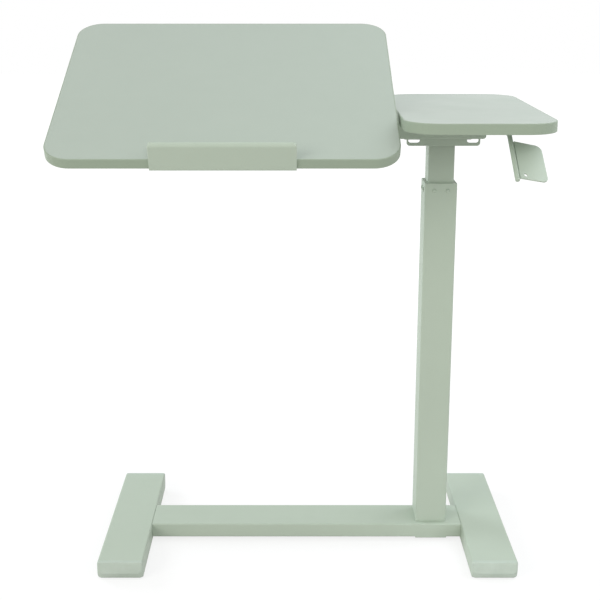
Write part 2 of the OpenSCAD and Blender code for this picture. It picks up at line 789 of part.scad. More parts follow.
module shaft_saddle(side) color(cap_plastic) placed() difference() {
    translate([saddle_x(side), rod_y, rod_z]) across(saddle_w) saddle_outline();
    at_saddle_screws(side) {
        hole(wood_screw_d + 2 * bolt_clear, saddle_under + rod_drop);
        translate([0, 0, -cut]) cylinder(d = wood_screw_head_d + 2 * bolt_clear, h = saddle_sink + cut);
    }
}

module saddle_screws() color(zinc) placed() for (side = [-1, 1])
    at_saddle_screws(side) translate([0, 0, saddle_sink])
        wood_screw(saddle_under + rod_drop - saddle_sink + board_bite);

module rocker_pin() color(bright_steel) placed()
    translate([column_x, rocker_y, rocker_z]) rotate([0, 90, 0]) {
        lug_face = lug_x + lug_t / 2;
        translate([0, 0, -lug_face]) cylinder(d = rocker_pin_d, h = 2 * lug_face + rocker_pin_head);
        translate([0, 0, -lug_face - rocker_pin_head]) cylinder(d = rocker_pin_d + 2, h = rocker_pin_head);
    }

// Height release

module release_rod() color(paint) on_lever() {
    shaft_end = lever_x - bend_r;
    translate([rod_left, 0, 0]) rotate([0, 90, 0]) cylinder(d = rod_d, h = shaft_end - rod_left);
    translate([shaft_end, -bend_r, 0]) rotate_extrude(angle = 90) translate([bend_r, 0]) circle(d = rod_d);
    translate([lever_x, -bend_r, 0]) rotate([90, 0, 0]) cylinder(d = rod_d, h = lever_l - bend_r);
}

// Paddle outline: x from the rod's axis, y towards the lever's end
module paddle_outline() difference() {
    edge = rod_d / 2;
    far = lever_l - paddle_end;
    translate([edge, -far]) square([paddle_w, paddle_l]);
    translate([edge + paddle_w, -far]) mirror([1, 0]) corner_waste(paddle_lower_r);
    translate([edge + paddle_w, paddle_l - far]) rotate(180) corner_waste(paddle_upper_r);
    translate([edge + paddle_hole_x, paddle_hole_y - far]) circle(d = paddle_hole_d);
}

module lever_paddle() color(paint) on_lever() translate([lever_x, 0, 0]) rotate([0, paddle_droop, 0])
    linear_extrude(paddle_t, center = true) paddle_outline();

module finger_outline() difference() {
    union() {
        circle(finger_hub_r);
        translate([finger_l, tip_z - rod_z]) circle(finger_tip_r);
        translate([0, tip_z - rod_z - finger_tip_r]) square([finger_l, 2 * finger_tip_r]);
    }
    circle(d = rod_d + 2 * shaft_clear);
}

module release_finger() color(paint) placed() translate([column_x, rod_y, rod_z])
    across(finger_w) finger_outline();

module rocker_outline() difference() {
    union() {
        translate([tip_y - finger_tip_r, rocker_bottom])
            square([rocker_y - tip_y + finger_tip_r, rocker_h]);
        translate([rocker_y, rocker_z]) circle(rocker_eye_r);
    }
    translate([rocker_y, rocker_z]) circle(d = rocker_pin_d + 2 * shaft_clear);
}

module release_rocker() color(zinc) placed() translate([column_x, 0, 0]) across(rocker_w) rocker_outline();

module release_pin() color(bright_steel) placed()
    translate([column_x, 0, pin_top - pin_l]) cylinder(d = pin_d, h = pin_l);

// Tilting panel, drawn level about the tilt axis

module main_panel() color(laminate) on_panel() difference() {
    translate([0, pivot_fwd, pivot_drop]) board_core(panel_w, panel_r);
    for (side = [-1, 1]) at_bracket_screws(side)
        cylinder(d = wood_screw_d + 2 * shaft_clear, h = bracket_t + board_bite + cut);
    at_stop_screws() cylinder(d = wood_screw_d + 2 * shaft_clear, h = stop_t + board_bite);
}

module panel_edging() color(edge_band) on_panel()
    translate([0, pivot_fwd, pivot_drop]) edging_ring(panel_w, panel_r);

module ear_outline() {
    circle(ear_r);
    translate([-ear_r, 0]) square([2 * ear_r, pivot_drop - bracket_t]);
}

module panel_bracket(side) color(paint) on_panel() difference() {
    translate([side * hinge_off, 0, 0]) {
        translate([0, (bracket_front + bracket_rear) / 2, pivot_drop - bracket_t]) linear_extrude(bracket_t)
            rounded_rect(bracket_w, bracket_rear - bracket_front, arm_flange_r);
        for (x = [-1, 1]) translate([x * (ear_in + ear_out) / 2, 0, 0]) across(bracket_t) ear_outline();
    }
    translate([side * hinge_off, 0, 0]) rotate([0, 90, 0])
        cylinder(d = pivot_d + 2 * bolt_clear, h = 2 * (ear_out + cut), center = true);
    at_bracket_screws(side) hole(wood_screw_d + 2 * bolt_clear, bracket_t);
}

module bracket_screws() color(zinc) on_panel() for (side = [-1, 1])
    at_bracket_screws(side) wood_screw(bracket_t + board_bite);

module pivot_bolts() color(zinc) on_panel() for (side = [-1, 1])
    translate([side * hinge_off - ear_out, 0, 0]) rotate([0, 90, 0]) {
        translate([0, 0, -pivot_head]) hexagon(pivot_af, pivot_head);
        cylinder(d = pivot_d, h = 2 * ear_out + lock_nut_h + 2);
    }

module friction_washers() color(dark_rubber) on_panel() for (side = [-1, 1], x = [-1, 1])
    translate([side * hinge_off + x * (arm_t / 2 + rub_clear + washer_t / 2), 0, 0])
        across(washer_t) difference() {
            circle(d = washer_d);
            circle(d = pivot_d + 2 * bolt_clear);
        }

module lock_nuts() color(zinc) on_panel() for (side = [-1, 1])
    translate([side * hinge_off + ear_out, 0, 0]) rotate([0, 90, 0]) nut(pivot_d, pivot_af, lock_nut_h);

// Sheet bent from a flange under the panel, up its front edge and into a rolled hem
module stop_outline() {
    difference() {
        translate([stop_s, stop_n]) square([stop_flange, roll_n - stop_n]);
        translate([stop_s + stop_t, pivot_drop]) square([stop_flange, roll_n - pivot_drop + cut]);
        translate([stop_s, stop_n]) corner_waste(stop_bend_r);
    }
    translate([roll_s, roll_n]) difference() {
        circle(roll_r);
        circle(roll_r - stop_t);
        polygon([[0, 0], [-2 * roll_r, 0], [-2 * roll_r, -2 * roll_r], [roll_r, -2 * roll_r]]);
    }
}

module book_stop() color(paint) on_panel() difference() {
    translate([stop_x, 0, 0]) across(stop_w) stop_outline();
    at_stop_screws() hole(wood_screw_d + 2 * bolt_clear, stop_t);
}

module book_stop_screws() color(zinc) on_panel() at_stop_screws() wood_screw(stop_t + board_bite - cut);

for (side = [-1, 1]) {
    foot(side);
    crossbar_plug(side);
    hinge_arm(side);
    bumper(side);
    shaft_saddle(side);
    panel_bracket(side);
    for (end = [-1, 1]) {
        place = str(side_name(side), "_", end_name(end));
        foot_cap(side, end);
        glide(side, end);
    }
}
crossbar();
foot_bolts();
foot_sleeves();
under_plate();
column_sleeves();
column_bolts();
column_foot_plate();
outer_column();
upper_guide();
guide_rivets();
gas_spring_cylinder();
gas_spring_nut();
inner_column();
lower_guide();
gas_spring_rod();
rod_nuts();
column_head();
support_beam();
beam_bolts();
beam_nuts();
tray_plate();
tray_screws();
beam_screws();
tray_board();
tray_edging();
saddle_screws();
rocker_pin();
release_rod();
lever_paddle();
release_finger();
release_rocker();
release_pin();
main_panel();
panel_edging();
bracket_screws();
pivot_bolts();
friction_washers();
lock_nuts();
book_stop();
book_stop_screws();
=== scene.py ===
"""Looks of the overbed table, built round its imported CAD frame.

Shapes are drawn in millimetres about the column's axis and the panel's tilt axis, as in the CAD source,
and every piece is one or more closed skins: rings of points computed as whole arrays.
"""
import math

import bpy
import numpy as np
from mathutils.geometry import tessellate_polygon
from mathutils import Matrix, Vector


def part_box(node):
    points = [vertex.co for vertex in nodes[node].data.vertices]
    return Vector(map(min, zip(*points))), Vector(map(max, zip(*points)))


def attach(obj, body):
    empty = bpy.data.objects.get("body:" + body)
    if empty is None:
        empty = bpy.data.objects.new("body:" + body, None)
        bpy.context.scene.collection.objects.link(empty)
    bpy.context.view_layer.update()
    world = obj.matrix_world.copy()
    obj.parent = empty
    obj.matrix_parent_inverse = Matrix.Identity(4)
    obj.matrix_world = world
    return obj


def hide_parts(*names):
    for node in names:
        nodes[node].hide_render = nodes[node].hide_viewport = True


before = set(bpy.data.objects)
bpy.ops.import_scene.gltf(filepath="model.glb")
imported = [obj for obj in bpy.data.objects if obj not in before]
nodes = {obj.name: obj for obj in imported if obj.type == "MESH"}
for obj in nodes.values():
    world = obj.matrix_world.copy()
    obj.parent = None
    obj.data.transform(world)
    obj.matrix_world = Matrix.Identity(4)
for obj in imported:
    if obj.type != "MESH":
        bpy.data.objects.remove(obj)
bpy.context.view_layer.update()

scene = bpy.context.scene


def new_object(name, data):
    """Object of some data, in the scene."""
    thing = bpy.data.objects.new(name, data)
    scene.collection.objects.link(thing)
    return thing


# Camera: the photograph's viewing angle, in metres and degrees
CAMERA_PLACE, CAMERA_DOWN = (-0.0133, -1.7182, 0.929), 13.4957
eye = bpy.data.cameras.new("camera")
eye.sensor_width = 36.0
eye.lens = 66.0
eye.shift_x, eye.shift_y = 0.01367, -0.10
camera = new_object("camera", eye)
camera.location = CAMERA_PLACE
camera.rotation_euler = (math.radians(90 - CAMERA_DOWN), 0, 0)
bpy.context.scene.camera = camera

MM = 0.001  # millimetres to metres
PAD = 0.25  # a flat gets one more ring or point this far from a rounding
SHARP = math.radians(36)  # edges sharper than this are not shaded smooth
TILT = 25.5  # of the main panel at rest, in degrees
X, Y, Z = np.eye(3)
DOWN = -Z
BOTH = (-1, 1)
CORNERS = tuple((a, b) for a in BOTH for b in BOTH)
SIDES = (("left", -1), ("right", 1))
ENDS = (("front", -1), ("rear", 1))


# Places and outlines

def span(node):
    """Lowest and highest corner of a CAD node, in millimetres."""
    low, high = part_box(node)
    return np.array(low) / MM, np.array(high) / MM


def middle(node):
    """Middle of a CAD node's box, in millimetres."""
    low, high = span(node)
    return (low + high) / 2


column_x, table_y, _ = middle("outer_column")


def at(x, y, z):
    """Place with its own u, v, w axes along X, Y, Z; y is measured from the column's axis."""
    return np.array([x, y + table_y, z]), np.eye(3)


def turned(place, axis, degrees):
    """The place turned about one of its own axes, by the right-hand rule."""
    origin, axes = place
    c, s = math.cos(math.radians(degrees)), math.sin(math.radians(degrees))
    i, j = (axis + 1) % 3, (axis + 2) % 3
    new = axes.copy()
    new[i], new[j] = c * axes[i] + s * axes[j], c * axes[j] - s * axes[i]
    return origin, new


def moved(place, a, b, c):
    """The place shifted along its own axes."""
    origin, axes = place
    return origin + np.array([a, b, c]) @ axes, axes


def side_on(place):
    """For outlines drawn in (v, w) and carried along u."""
    return place[0], place[1][[1, 2, 0]]


def front_on(place):
    """For outlines drawn in (u, w) and carried towards the front, along -v."""
    origin, axes = place
    return origin, np.array([axes[0], axes[2], -axes[1]])


def facing(place, direction):
    """The place with its w axis along a direction of the table: the u axis is any one across it."""
    w = np.asarray(direction, float)
    u = np.cross(Y if abs(w[1]) < 0.9 else X, w)
    u /= np.linalg.norm(u)
    return place[0], np.array([u, np.cross(w, u), w])


def upright(node):
    """Length of a piece of the column, and its place on the column's axis at mid length."""
    low, high = span(node)
    return high[2] - low[2], at(column_x, 0, (low[2] + high[2]) / 2)


def four_below(x, y, z):
    """Places facing down at the corners of a rectangle about the column's axis, by half its sides."""
    return [facing(at(column_x + ax * x, ay * y, z), DOWN) for ax, ay in CORNERS]


def put(place, local):
    """Points of a place's own axes, in the table's frame."""
    return place[0] + local @ place[1]


def full_turn(steps):
    """Angles evenly round a circle."""
    return np.arange(steps) * 2 * np.pi / steps


def quarter_turn(count):
    """Angles evenly over a quarter circle, with both ends."""
    return np.linspace(0, np.pi / 2, count)


def rounded_off(past, radius):
    """How far a round corner has fallen back, at a distance past the start of its quarter circle."""
    past = np.clip(past, 0, radius)
    return radius - np.sqrt(radius ** 2 - past ** 2)


def ease(x):
    """Smooth step from 0 to 1."""
    x = np.clip(x, 0, 1)
    return x * x * (3 - 2 * x)


def corner_path(corners, radii, steps=6, pad=PAD):
    """Closed outline through corners, counter-clockwise, each rounded to its radius. Along an arc the outward
    normal turns evenly from one side's to the next, and the point lies a radius from the arc's centre along
    it. One more point lies a pad before and after each arc, to keep the straights flat."""
    p = np.asarray(corners, float)
    r = np.broadcast_to(np.asarray(radii, float), len(p))
    d_in = p - np.roll(p, 1, 0)
    d_in /= np.linalg.norm(d_in, axis=1)[:, None]
    d_out = np.roll(d_in, -1, 0)
    turn = np.arctan2(d_in[:, 0] * d_out[:, 1] - d_in[:, 1] * d_out[:, 0], (d_in * d_out).sum(1))
    side = np.sign(turn)
    n_in = np.c_[d_in[:, 1], -d_in[:, 0]]
    centre = p - d_in * (r * np.tan(np.abs(turn) / 2))[:, None] - (side * r)[:, None] * n_in
    angle = np.arctan2(n_in[:, 1], n_in[:, 0])[:, None] + turn[:, None] * np.linspace(0, 1, steps + 1)
    normal = np.stack([np.cos(angle), np.sin(angle)], -1)
    point = centre[:, None] + (side * r)[:, None, None] * normal
    first, last = point[:, :1] - pad * d_in[:, None], point[:, -1:] + pad * d_out[:, None]
    point = np.concatenate([first, point, last], 1)
    normal = np.concatenate([normal[:, :1], normal, normal[:, -1:]], 1)
    return point.reshape(-1, 2), normal.reshape(-1, 2)


def box_path(low_u, low_v, high_u, high_v, radii, steps=6, pad=PAD):
    """Rectangle with rounded corners; radii from the lower left corner, counter-clockwise."""
    corners = [(low_u, low_v), (high_u, low_v), (high_u, high_v), (low_u, high_v)]
    return corner_path(corners, radii, steps, pad)


def rect_path(w, d, r, steps=6, pad=PAD):
    """Rectangle about the origin with rounded corners."""
    return box_path(-w / 2, -d / 2, w / 2, d / 2, r, steps, pad)


def round_path(radius, u=0.0, v=0.0, steps=32):
    """Circle: the point lies a radius from the middle along its normal."""
    t = full_turn(steps)
    normal = np.c_[np.cos(t), np.sin(t)]
    return np.array([u, v]) + radius * normal, normal


def mirrored(line):
    """A line of the left half, carried on into the right half by its mirror image."""
    return np.concatenate([line, line[::-1] * (-1, 1)])


def strip_path(line, thick, steps=8):
    """Outline of a bent sheet: its middle line moved half the thickness each way, joined by round ends."""
    tangent = np.gradient(line, axis=0)
    tangent /= np.linalg.norm(tangent, axis=1)[:, None]
    right = np.c_[tangent[:, 1], -tangent[:, 0]]
    half = np.linspace(0, np.pi, steps + 1)[1:-1, None]
    far = np.cos(half) * right[-1] + np.sin(half) * tangent[-1]
    near = -np.cos(half) * right[0] - np.sin(half) * tangent[0]
    normal = np.concatenate([right, far, -right[::-1], near])
    far_end, near_end = (np.repeat(end, steps - 1, 0) for end in (line[-1:], line[:1]))
    return np.concatenate([line, far_end, line[::-1], near_end]) + thick / 2 * normal, normal


# Skins: (points, faces, wear and highlight), 1 where a finish is rubbed and gets a painted edge highlight,
# mostly along edges, and 0 on the flats

def grid_faces(rows, cols, closed):
    """Quads between neighbouring rings of a stack; a closed stack joins its last ring to its first."""
    i, j = np.meshgrid(np.arange(rows if closed else rows - 1), np.arange(cols), indexing="ij")
    below, ahead = (i + 1) % rows, (j + 1) % cols
    quads = [i * cols + j, below * cols + j, below * cols + ahead, i * cols + ahead]
    return np.stack(quads, -1).reshape(-1, 4)


def loft(rings, wear_and_highlight=0.0, closed=False):
    """Skin over a stack of rings with equally many points, each counter-clockwise seen from the first:
    quads between rings, and a flat face over the first and the last unless the stack is closed. The rubbed
    wear with its painted edge highlight is one value, one for each ring or one for each point."""
    count, around = rings.shape[:2]
    faces = [grid_faces(count, around, closed)]
    if not closed:
        faces += [np.arange(around)[None], count * around - 1 - np.arange(around)[None]]
    wear_and_highlight = np.asarray(wear_and_highlight, float)
    wear_and_highlight = wear_and_highlight[:, None] if wear_and_highlight.ndim == 1 else wear_and_highlight
    return rings.reshape(-1, 3), faces, np.broadcast_to(wear_and_highlight, (count, around)).reshape(-1)


def levelled(point, level):
    """Ring of an outline's points at a level."""
    return np.c_[point, np.full(len(point), level)]


def ring_stack(path, inset, level):
    """Rings of an outline moved inwards by each inset, at each level."""
    point, normal = path
    flat = point[None] - inset[:, None, None] * normal[None]
    level = np.broadcast_to(level[:, None] if level.ndim == 1 else level, flat.shape[:2])
    return np.concatenate([flat, level[..., None]], -1)


def round_stack(reach, level):
    """Rings round the w axis: points evenly by angle, each at its reach from the axis and its level."""
    t = full_turn(reach.shape[1])
    return np.stack([reach * np.cos(t), reach * np.sin(t), np.broadcast_to(level, reach.shape)], -1)


def rim_section(thick, edge, steps):
    """Section round a plate's rim from the upper face to the lower: a quarter circle of the edge radius at
    each corner, with a ring close by on each flat. Gives inset, level, and rubbed wear with a painted edge
    highlight."""
    a = quarter_turn(steps + 1)
    inset = np.r_[edge + PAD, edge * (1 - np.sin(a)), 0]
    level = thick / 2 - np.r_[0, edge * (1 - np.cos(a)), edge + PAD]
    wear_and_highlight = np.r_[0, np.ones(steps + 1), 0]
    return np.r_[inset, inset[::-1]], np.r_[level, -level[::-1]], np.tile(wear_and_highlight, 2)


def plate(outline, thick, edge, place, holes=(), trim=0.0, steps=4):
    """Plate of an outline with holes: the rim's section carried round each outline, and flat faces between
    their innermost rings. trim shortens the plate at each point of the outline."""
    inset, level, wear_and_highlight = rim_section(thick, edge, steps)
    level = level[:, None] - np.sign(level)[:, None] * trim
    loops = [outline] + [(point[::-1], -normal[::-1]) for point, normal in holes]
    points, faces, worn_and_highlit, upper, lower, start = [], [], [], [], [], 0
    for loop in loops:
        around = len(loop[0])
        skin = loft(ring_stack(loop, inset, np.broadcast_to(level, (len(inset), around))), wear_and_highlight)
        points.append(skin[0])
        faces.append(skin[1][0] + start)
        worn_and_highlit.append(skin[2])
        upper.append(start + np.arange(around))
        lower.append(start + (len(inset) - 1) * around + np.arange(around))
        start += len(skin[0])
    points, worn_and_highlit, upper, lower = map(np.concatenate, (points, worn_and_highlit, upper, lower))
    flat = points[upper] * (1, 1, 0)
    breaks = np.cumsum([len(loop[0]) for loop in loops])[:-1]
    tri = np.array(tessellate_polygon([part.tolist() for part in np.split(flat, breaks)]))
    a, b, c = (flat[tri[:, k], :2] for k in range(3))
    turn = (b[:, 0] - a[:, 0]) * (c[:, 1] - a[:, 1]) - (b[:, 1] - a[:, 1]) * (c[:, 0] - a[:, 0])
    tri = np.where((turn < 0)[:, None], tri[:, ::-1], tri)
    faces += [upper[tri], lower[tri[:, ::-1]]]
    return put(place, points), faces, worn_and_highlit


def tube(path, wall, length, edge, place, steps=3):
    """Hollow section: the wall's own outline, with rounded edges at both ends, carried round the path."""
    a = quarter_turn(steps + 1)
    out, run, half = edge * (1 - np.sin(a)), edge * (1 - np.cos(a)), length / 2
    inset = np.r_[out, 0, 0, out[::-1], wall - out, wall, wall, wall - out[::-1]]
    end = half - np.r_[run, edge + PAD]
    level = np.r_[end, -end[::-1], -end, end[::-1]]
    worn_and_highlit = np.ones(steps + 1)
    wear_and_highlight = np.tile(np.r_[worn_and_highlit, 0, 0, worn_and_highlit], 2)
    return loft(put(place, ring_stack(path, inset, level)), wear_and_highlight, closed=True)


def hexagon(t):
    """Reach of a hexagon's outline at an angle, as a share of half its flats."""
    return 1 / np.cos((t + np.pi / 6) % (np.pi / 3) - np.pi / 6)


def lathe(section, place, steps=48, six=(), wear_and_highlight=0.0):
    """Turned piece: each (radius, height) of a section, from the top's middle to the underside's, carried
    round the w axis. Rings named in six are hexagons that wide across half their flats."""
    radius, level = np.asarray(section, float).T
    share = np.ones((len(radius), steps))
    share[list(six)] = hexagon(full_turn(steps))
    return loft(put(place, round_stack(radius[:, None] * share, level[:, None])), wear_and_highlight)


def sweep(line, radius, across, place, steps):
    """Round bar along a line: at each point a circle of its radius, square to the line, which lies in the
    plane square to the across direction."""
    tangent = np.gradient(line, axis=0)
    tangent /= np.linalg.norm(tangent, axis=1)[:, None]
    across = np.broadcast_to(np.asarray(across, float), line.shape)
    other = np.cross(across, tangent)
    t = full_turn(steps)[None, :, None]
    circle = np.cos(t) * across[:, None] + np.sin(t) * other[:, None]
    rings = line[:, None] + np.broadcast_to(radius, len(line))[:, None, None] * circle
    return loft(put(place, rings))


def bead(start, end, radius, across, place):
    """Weld bead between two points: a bar whose radius ripples along it and tapers at both ends."""
    step, pitch, swell = 0.45, 1.7, 0.09
    start, end = np.asarray(start, float), np.asarray(end, float)
    length = np.linalg.norm(end - start)
    s = np.linspace(0, 1, max(int(length / step), 12))
    taper = np.sqrt(np.clip(np.minimum(s, 1 - s) * length / radius, 0.02, 1))
    ripple = 1 + swell * np.cos(2 * np.pi * s * length / pitch)
    return sweep(start + s[:, None] * (end - start), radius * taper * ripple, across, place, 12)


# Fasteners, drawn with the head up the place's w axis and its seat at w = 0

SOCKET_RINGS = (1, 2, 3, 4)  # rings of a bolt head that are hexagons
M8_HEAD, M6_HEAD = (14.0, 3.5, 5.0), (11.0, 3.3, 4.0)  # across, height, key
M8_SUNK = (14.0, 5.0)  # across, key
M6_NUT, M6_THREAD = (10.0, 5.0), 6.0  # across flats and height, across
WOOD_SCREW = (7.0, 2.4)  # across, height


def button_head(d, h, socket, place):
    """Domed bolt head with a hexagon socket: the section runs from the socket's floor, up its wall and over a
    quarter ellipse to the seat."""
    r, flat, floor, key = d / 2, 0.6 * d / 2, 0.35 * h, socket / 2
    a = quarter_turn(7)
    dome = np.c_[flat + (r - flat) * np.sin(a), 0.32 * h + 0.68 * h * np.cos(a)]
    section = [(0.2 * socket, floor), (key - 0.1, floor), (key, floor + 0.15), (key, h - 0.2), (key + 0.2, h)]
    section = np.vstack([section, dome, [(r, 0.25), (r - 0.2, 0)]])
    return lathe(section, place, six=SOCKET_RINGS, wear_and_highlight=np.r_[np.zeros(3), 1, 1, np.zeros(7), 1, 1])


def sunk_head(d, socket, place):
    """Countersunk bolt head, flush with w = 0: a hexagon socket in a flat top, over a cone."""
    r, key = d / 2, socket / 2
    section = [(0.2 * socket, -2.6), (key - 0.1, -2.6), (key, -2.4), (key, -0.25), (key + 0.2, -0.02),
               (r - 0.35, -0.02), (r - 0.1, -0.12), (r - 0.1, -0.3), (r - 2.6, -2.8)]
    return lathe(section, place, six=SOCKET_RINGS, wear_and_highlight=np.r_[np.zeros(3), 1, 1, 1, 1, 0, 0])


def cross_head(d, h, place, steps=56):
    """Pan head with a cross recess: a dome over the radius, less a depth that is full inside two bars at
    right angles and fades at their sides."""
    r = d / 2
    reach = np.r_[np.linspace(0.06, 0.62, 15), 0.72, 0.82, 0.9, 0.96, 0.99, 1, 1] * r
    t = full_turn(steps)
    u, v = reach[:, None] * np.cos(t), reach[:, None] * np.sin(t)
    top = h * (1 - 0.28 * (reach / r) ** 2)
    top[-4:] = np.array([0.6, 0.45, 0.28, 0.0]) * h
    bar_w, bar_l, soft = 0.13 * r, 0.54 * r, 0.07 * r

    def inside(a, b):
        """1 inside a bar of the cross that runs along b, falling to 0 over its soft sides."""
        return (np.clip((bar_w - np.abs(a)) / soft + 0.5, 0, 1) *
                np.clip((bar_l - np.abs(b)) / soft + 0.5, 0, 1))

    level = top[:, None] - 0.55 * h * np.maximum(inside(u, v), inside(v, u))
    return loft(put(place, np.stack([u, v, level], -1)), np.r_[np.zeros(17), np.ones(5)])


def hex_body(af, h, place, bore=0.0, steps=48):
    """Hexagon head or nut: flats carried up to a cone that chamfers the corners, round on top, and with a
    bore where it is a nut."""
    side = af / 2 * hexagon(full_turn(steps))
    crown = 0.47 * af
    circle = np.ones(steps)
    rows = [(crown * circle, h * circle), (side, h - 0.55 * np.maximum(side - crown, 0)),
            (side, 0.7 * circle), (side - 0.1, 0.05 * circle), (side - 0.3, 0 * circle)]
    if bore:
        hole = bore / 2 * circle
        rows = [(hole, (h - 0.5) * circle), (hole + 0.5, h * circle)] + rows + [(hole, 0 * circle)]
    else:
        rows = [(0.15 * af * circle, h * circle)] + rows
    reach, level = np.array(rows).swapaxes(0, 1)
    return loft(put(place, round_stack(reach, level)), closed=bool(bore))


def bolt_end(d, h, place):
    """Chamfered end of a thread, standing h proud, with a few turns of its thread as ripples."""
    n = max(int(h / 0.4), 3)
    level = np.linspace(h - 0.6, 0, 2 * n)
    reach = d / 2 - 0.22 * (np.arange(2 * n) % 2)
    section = np.vstack([[(0.15 * d, h), (d / 2 - 0.7, h)], np.c_[reach, level]])
    return lathe(section, place, 32)


# Finishes

def socket_value(tree, node, name, value):
    """Sets a socket, or links it where the value is another node's socket."""
    if isinstance(value, bpy.types.NodeSocket):
        tree.links.new(value, node.inputs[name])
    else:
        node.inputs[name].default_value = value


def add(tree, kind, inputs=(), **settings):
    """Adds a shader node of a kind, with its settings and its inputs by name or number."""
    node = tree.nodes.new("ShaderNode" + kind)
    for key, value in settings.items():
        setattr(node, key, value)
    for name, value in dict(inputs).items():
        socket_value(tree, node, name, value)
    return node


def group(name, inputs, outputs):
    """Empty node group with named sockets."""
    tree = bpy.data.node_groups.new(name, "ShaderNodeTree")
    for kind, names in (("INPUT", inputs), ("OUTPUT", outputs)):
        for label, kind_of in names:
            tree.interface.new_socket(label, in_out=kind, socket_type="NodeSocket" + kind_of)
    return tree, tree.nodes.new("NodeGroupInput").outputs, tree.nodes.new("NodeGroupOutput")


def noise(tree, place, scale, detail, rough=0.5):
    """Smooth noise from 0 to 1."""
    inputs = {"Vector": place, "Scale": scale, "Detail": detail, "Roughness": rough}
    return add(tree, "TexNoise", inputs).outputs["Fac"]


def ramp(tree, value, low, high, to_low=0.0, to_high=1.0):
    """Value carried from one range to another and held at its ends."""
    inputs = {"Value": value, "From Min": low, "From Max": high, "To Min": to_low, "To Max": to_high}
    return add(tree, "MapRange", inputs).outputs["Result"]


def maths(tree, operation, a, b):
    """Result of an operation on two values."""
    return add(tree, "Math", {0: a, 1: b}, operation=operation).outputs[0]


def mixed(tree, share, a, b):
    """Colour a with a share of colour b."""
    return add(tree, "Mix", {0: share, 6: a, 7: b}, data_type="RGBA").outputs[2]


def blended(tree, a, share, b):
    """Sum of two values, the first times its share and the second times the rest."""
    return maths(tree, "ADD", maths(tree, "MULTIPLY", a, share), maths(tree, "MULTIPLY", b, 1 - share))


def make_tone_group():
    """Slow drift of colour over a surface, with finer clouding inside it."""
    tree, given, out = group("tone_drift", [("Place", "Vector"), ("Colour", "Color"), ("Other", "Color"),
                                            ("Size", "Float"), ("Share", "Float")], [("Colour", "Color")])
    broad = ramp(tree, noise(tree, given["Place"], given["Size"], 3.0), 0.32, 0.68)
    fine_size = maths(tree, "MULTIPLY", given["Size"], 9.0)
    fine = ramp(tree, noise(tree, given["Place"], fine_size, 2.0), 0.3, 0.7)
    share = maths(tree, "MULTIPLY", blended(tree, broad, 0.65, fine), given["Share"])
    tree.links.new(mixed(tree, share, given["Colour"], given["Other"]), out.inputs["Colour"])
    return tree


def make_grain_group():
    """Fine surface height: pebbles of one size with smaller ones between them."""
    tree, given, out = group("fine_grain", [("Place", "Vector"), ("Size", "Float")],
                             [("Height", "Float"), ("Speck", "Float")])
    coarse = noise(tree, given["Place"], given["Size"], 1.0)
    small = noise(tree, given["Place"], maths(tree, "MULTIPLY", given["Size"], 2.9), 2.0)
    tree.links.new(blended(tree, coarse, 0.68, small), out.inputs["Height"])
    tree.links.new(ramp(tree, small, 0.62, 0.72), out.inputs["Speck"])
    return tree


def make_wear_highlight_group():
    """Rubbed edges that also carry a painted edge highlight: the piece's own attribute for them, broken up by
    noise.
    """
    tree, given, out = group("edge_wear_highlight", [("Place", "Vector"), ("Share", "Float")], [("Mask", "Float")])
    edge = add(tree, "Attribute", attribute_name="wear_and_highlight", attribute_type="GEOMETRY").outputs["Fac"]
    patch = ramp(tree, noise(tree, given["Place"], 34.0, 4.0, 0.6), 0.36, 0.66, 0.25, 1.0)
    mask = maths(tree, "MULTIPLY", maths(tree, "MULTIPLY", edge, patch), given["Share"])
    tree.links.new(mask, out.inputs["Mask"])
    return tree


def make_handling_group():
    """Roughness that drifts a little where a surface is wiped and handled."""
    tree, given, out = group("handling", [("Place", "Vector"), ("Base", "Float"), ("Spread", "Float"),
                                          ("Size", "Float")], [("Roughness", "Float")])
    cloud = ramp(tree, noise(tree, given["Place"], given["Size"], 4.0, 0.62), 0.28, 0.72, -1.0, 1.0)
    rough = maths(tree, "ADD", given["Base"], maths(tree, "MULTIPLY", cloud, given["Spread"]))
    tree.links.new(rough, out.inputs["Roughness"])
    return tree


tone_group, grain_group = make_tone_group(), make_grain_group()
wear_highlight_group, handling_group = make_wear_highlight_group(), make_handling_group()


def colour(r, g, b):
    """Linear colour of an sRGB one given from 0 to 255."""
    c = np.array([r, g, b]) / 255
    return (*np.where(c <= 0.04045, c / 12.92, ((c + 0.055) / 1.055) ** 2.4), 1.0)


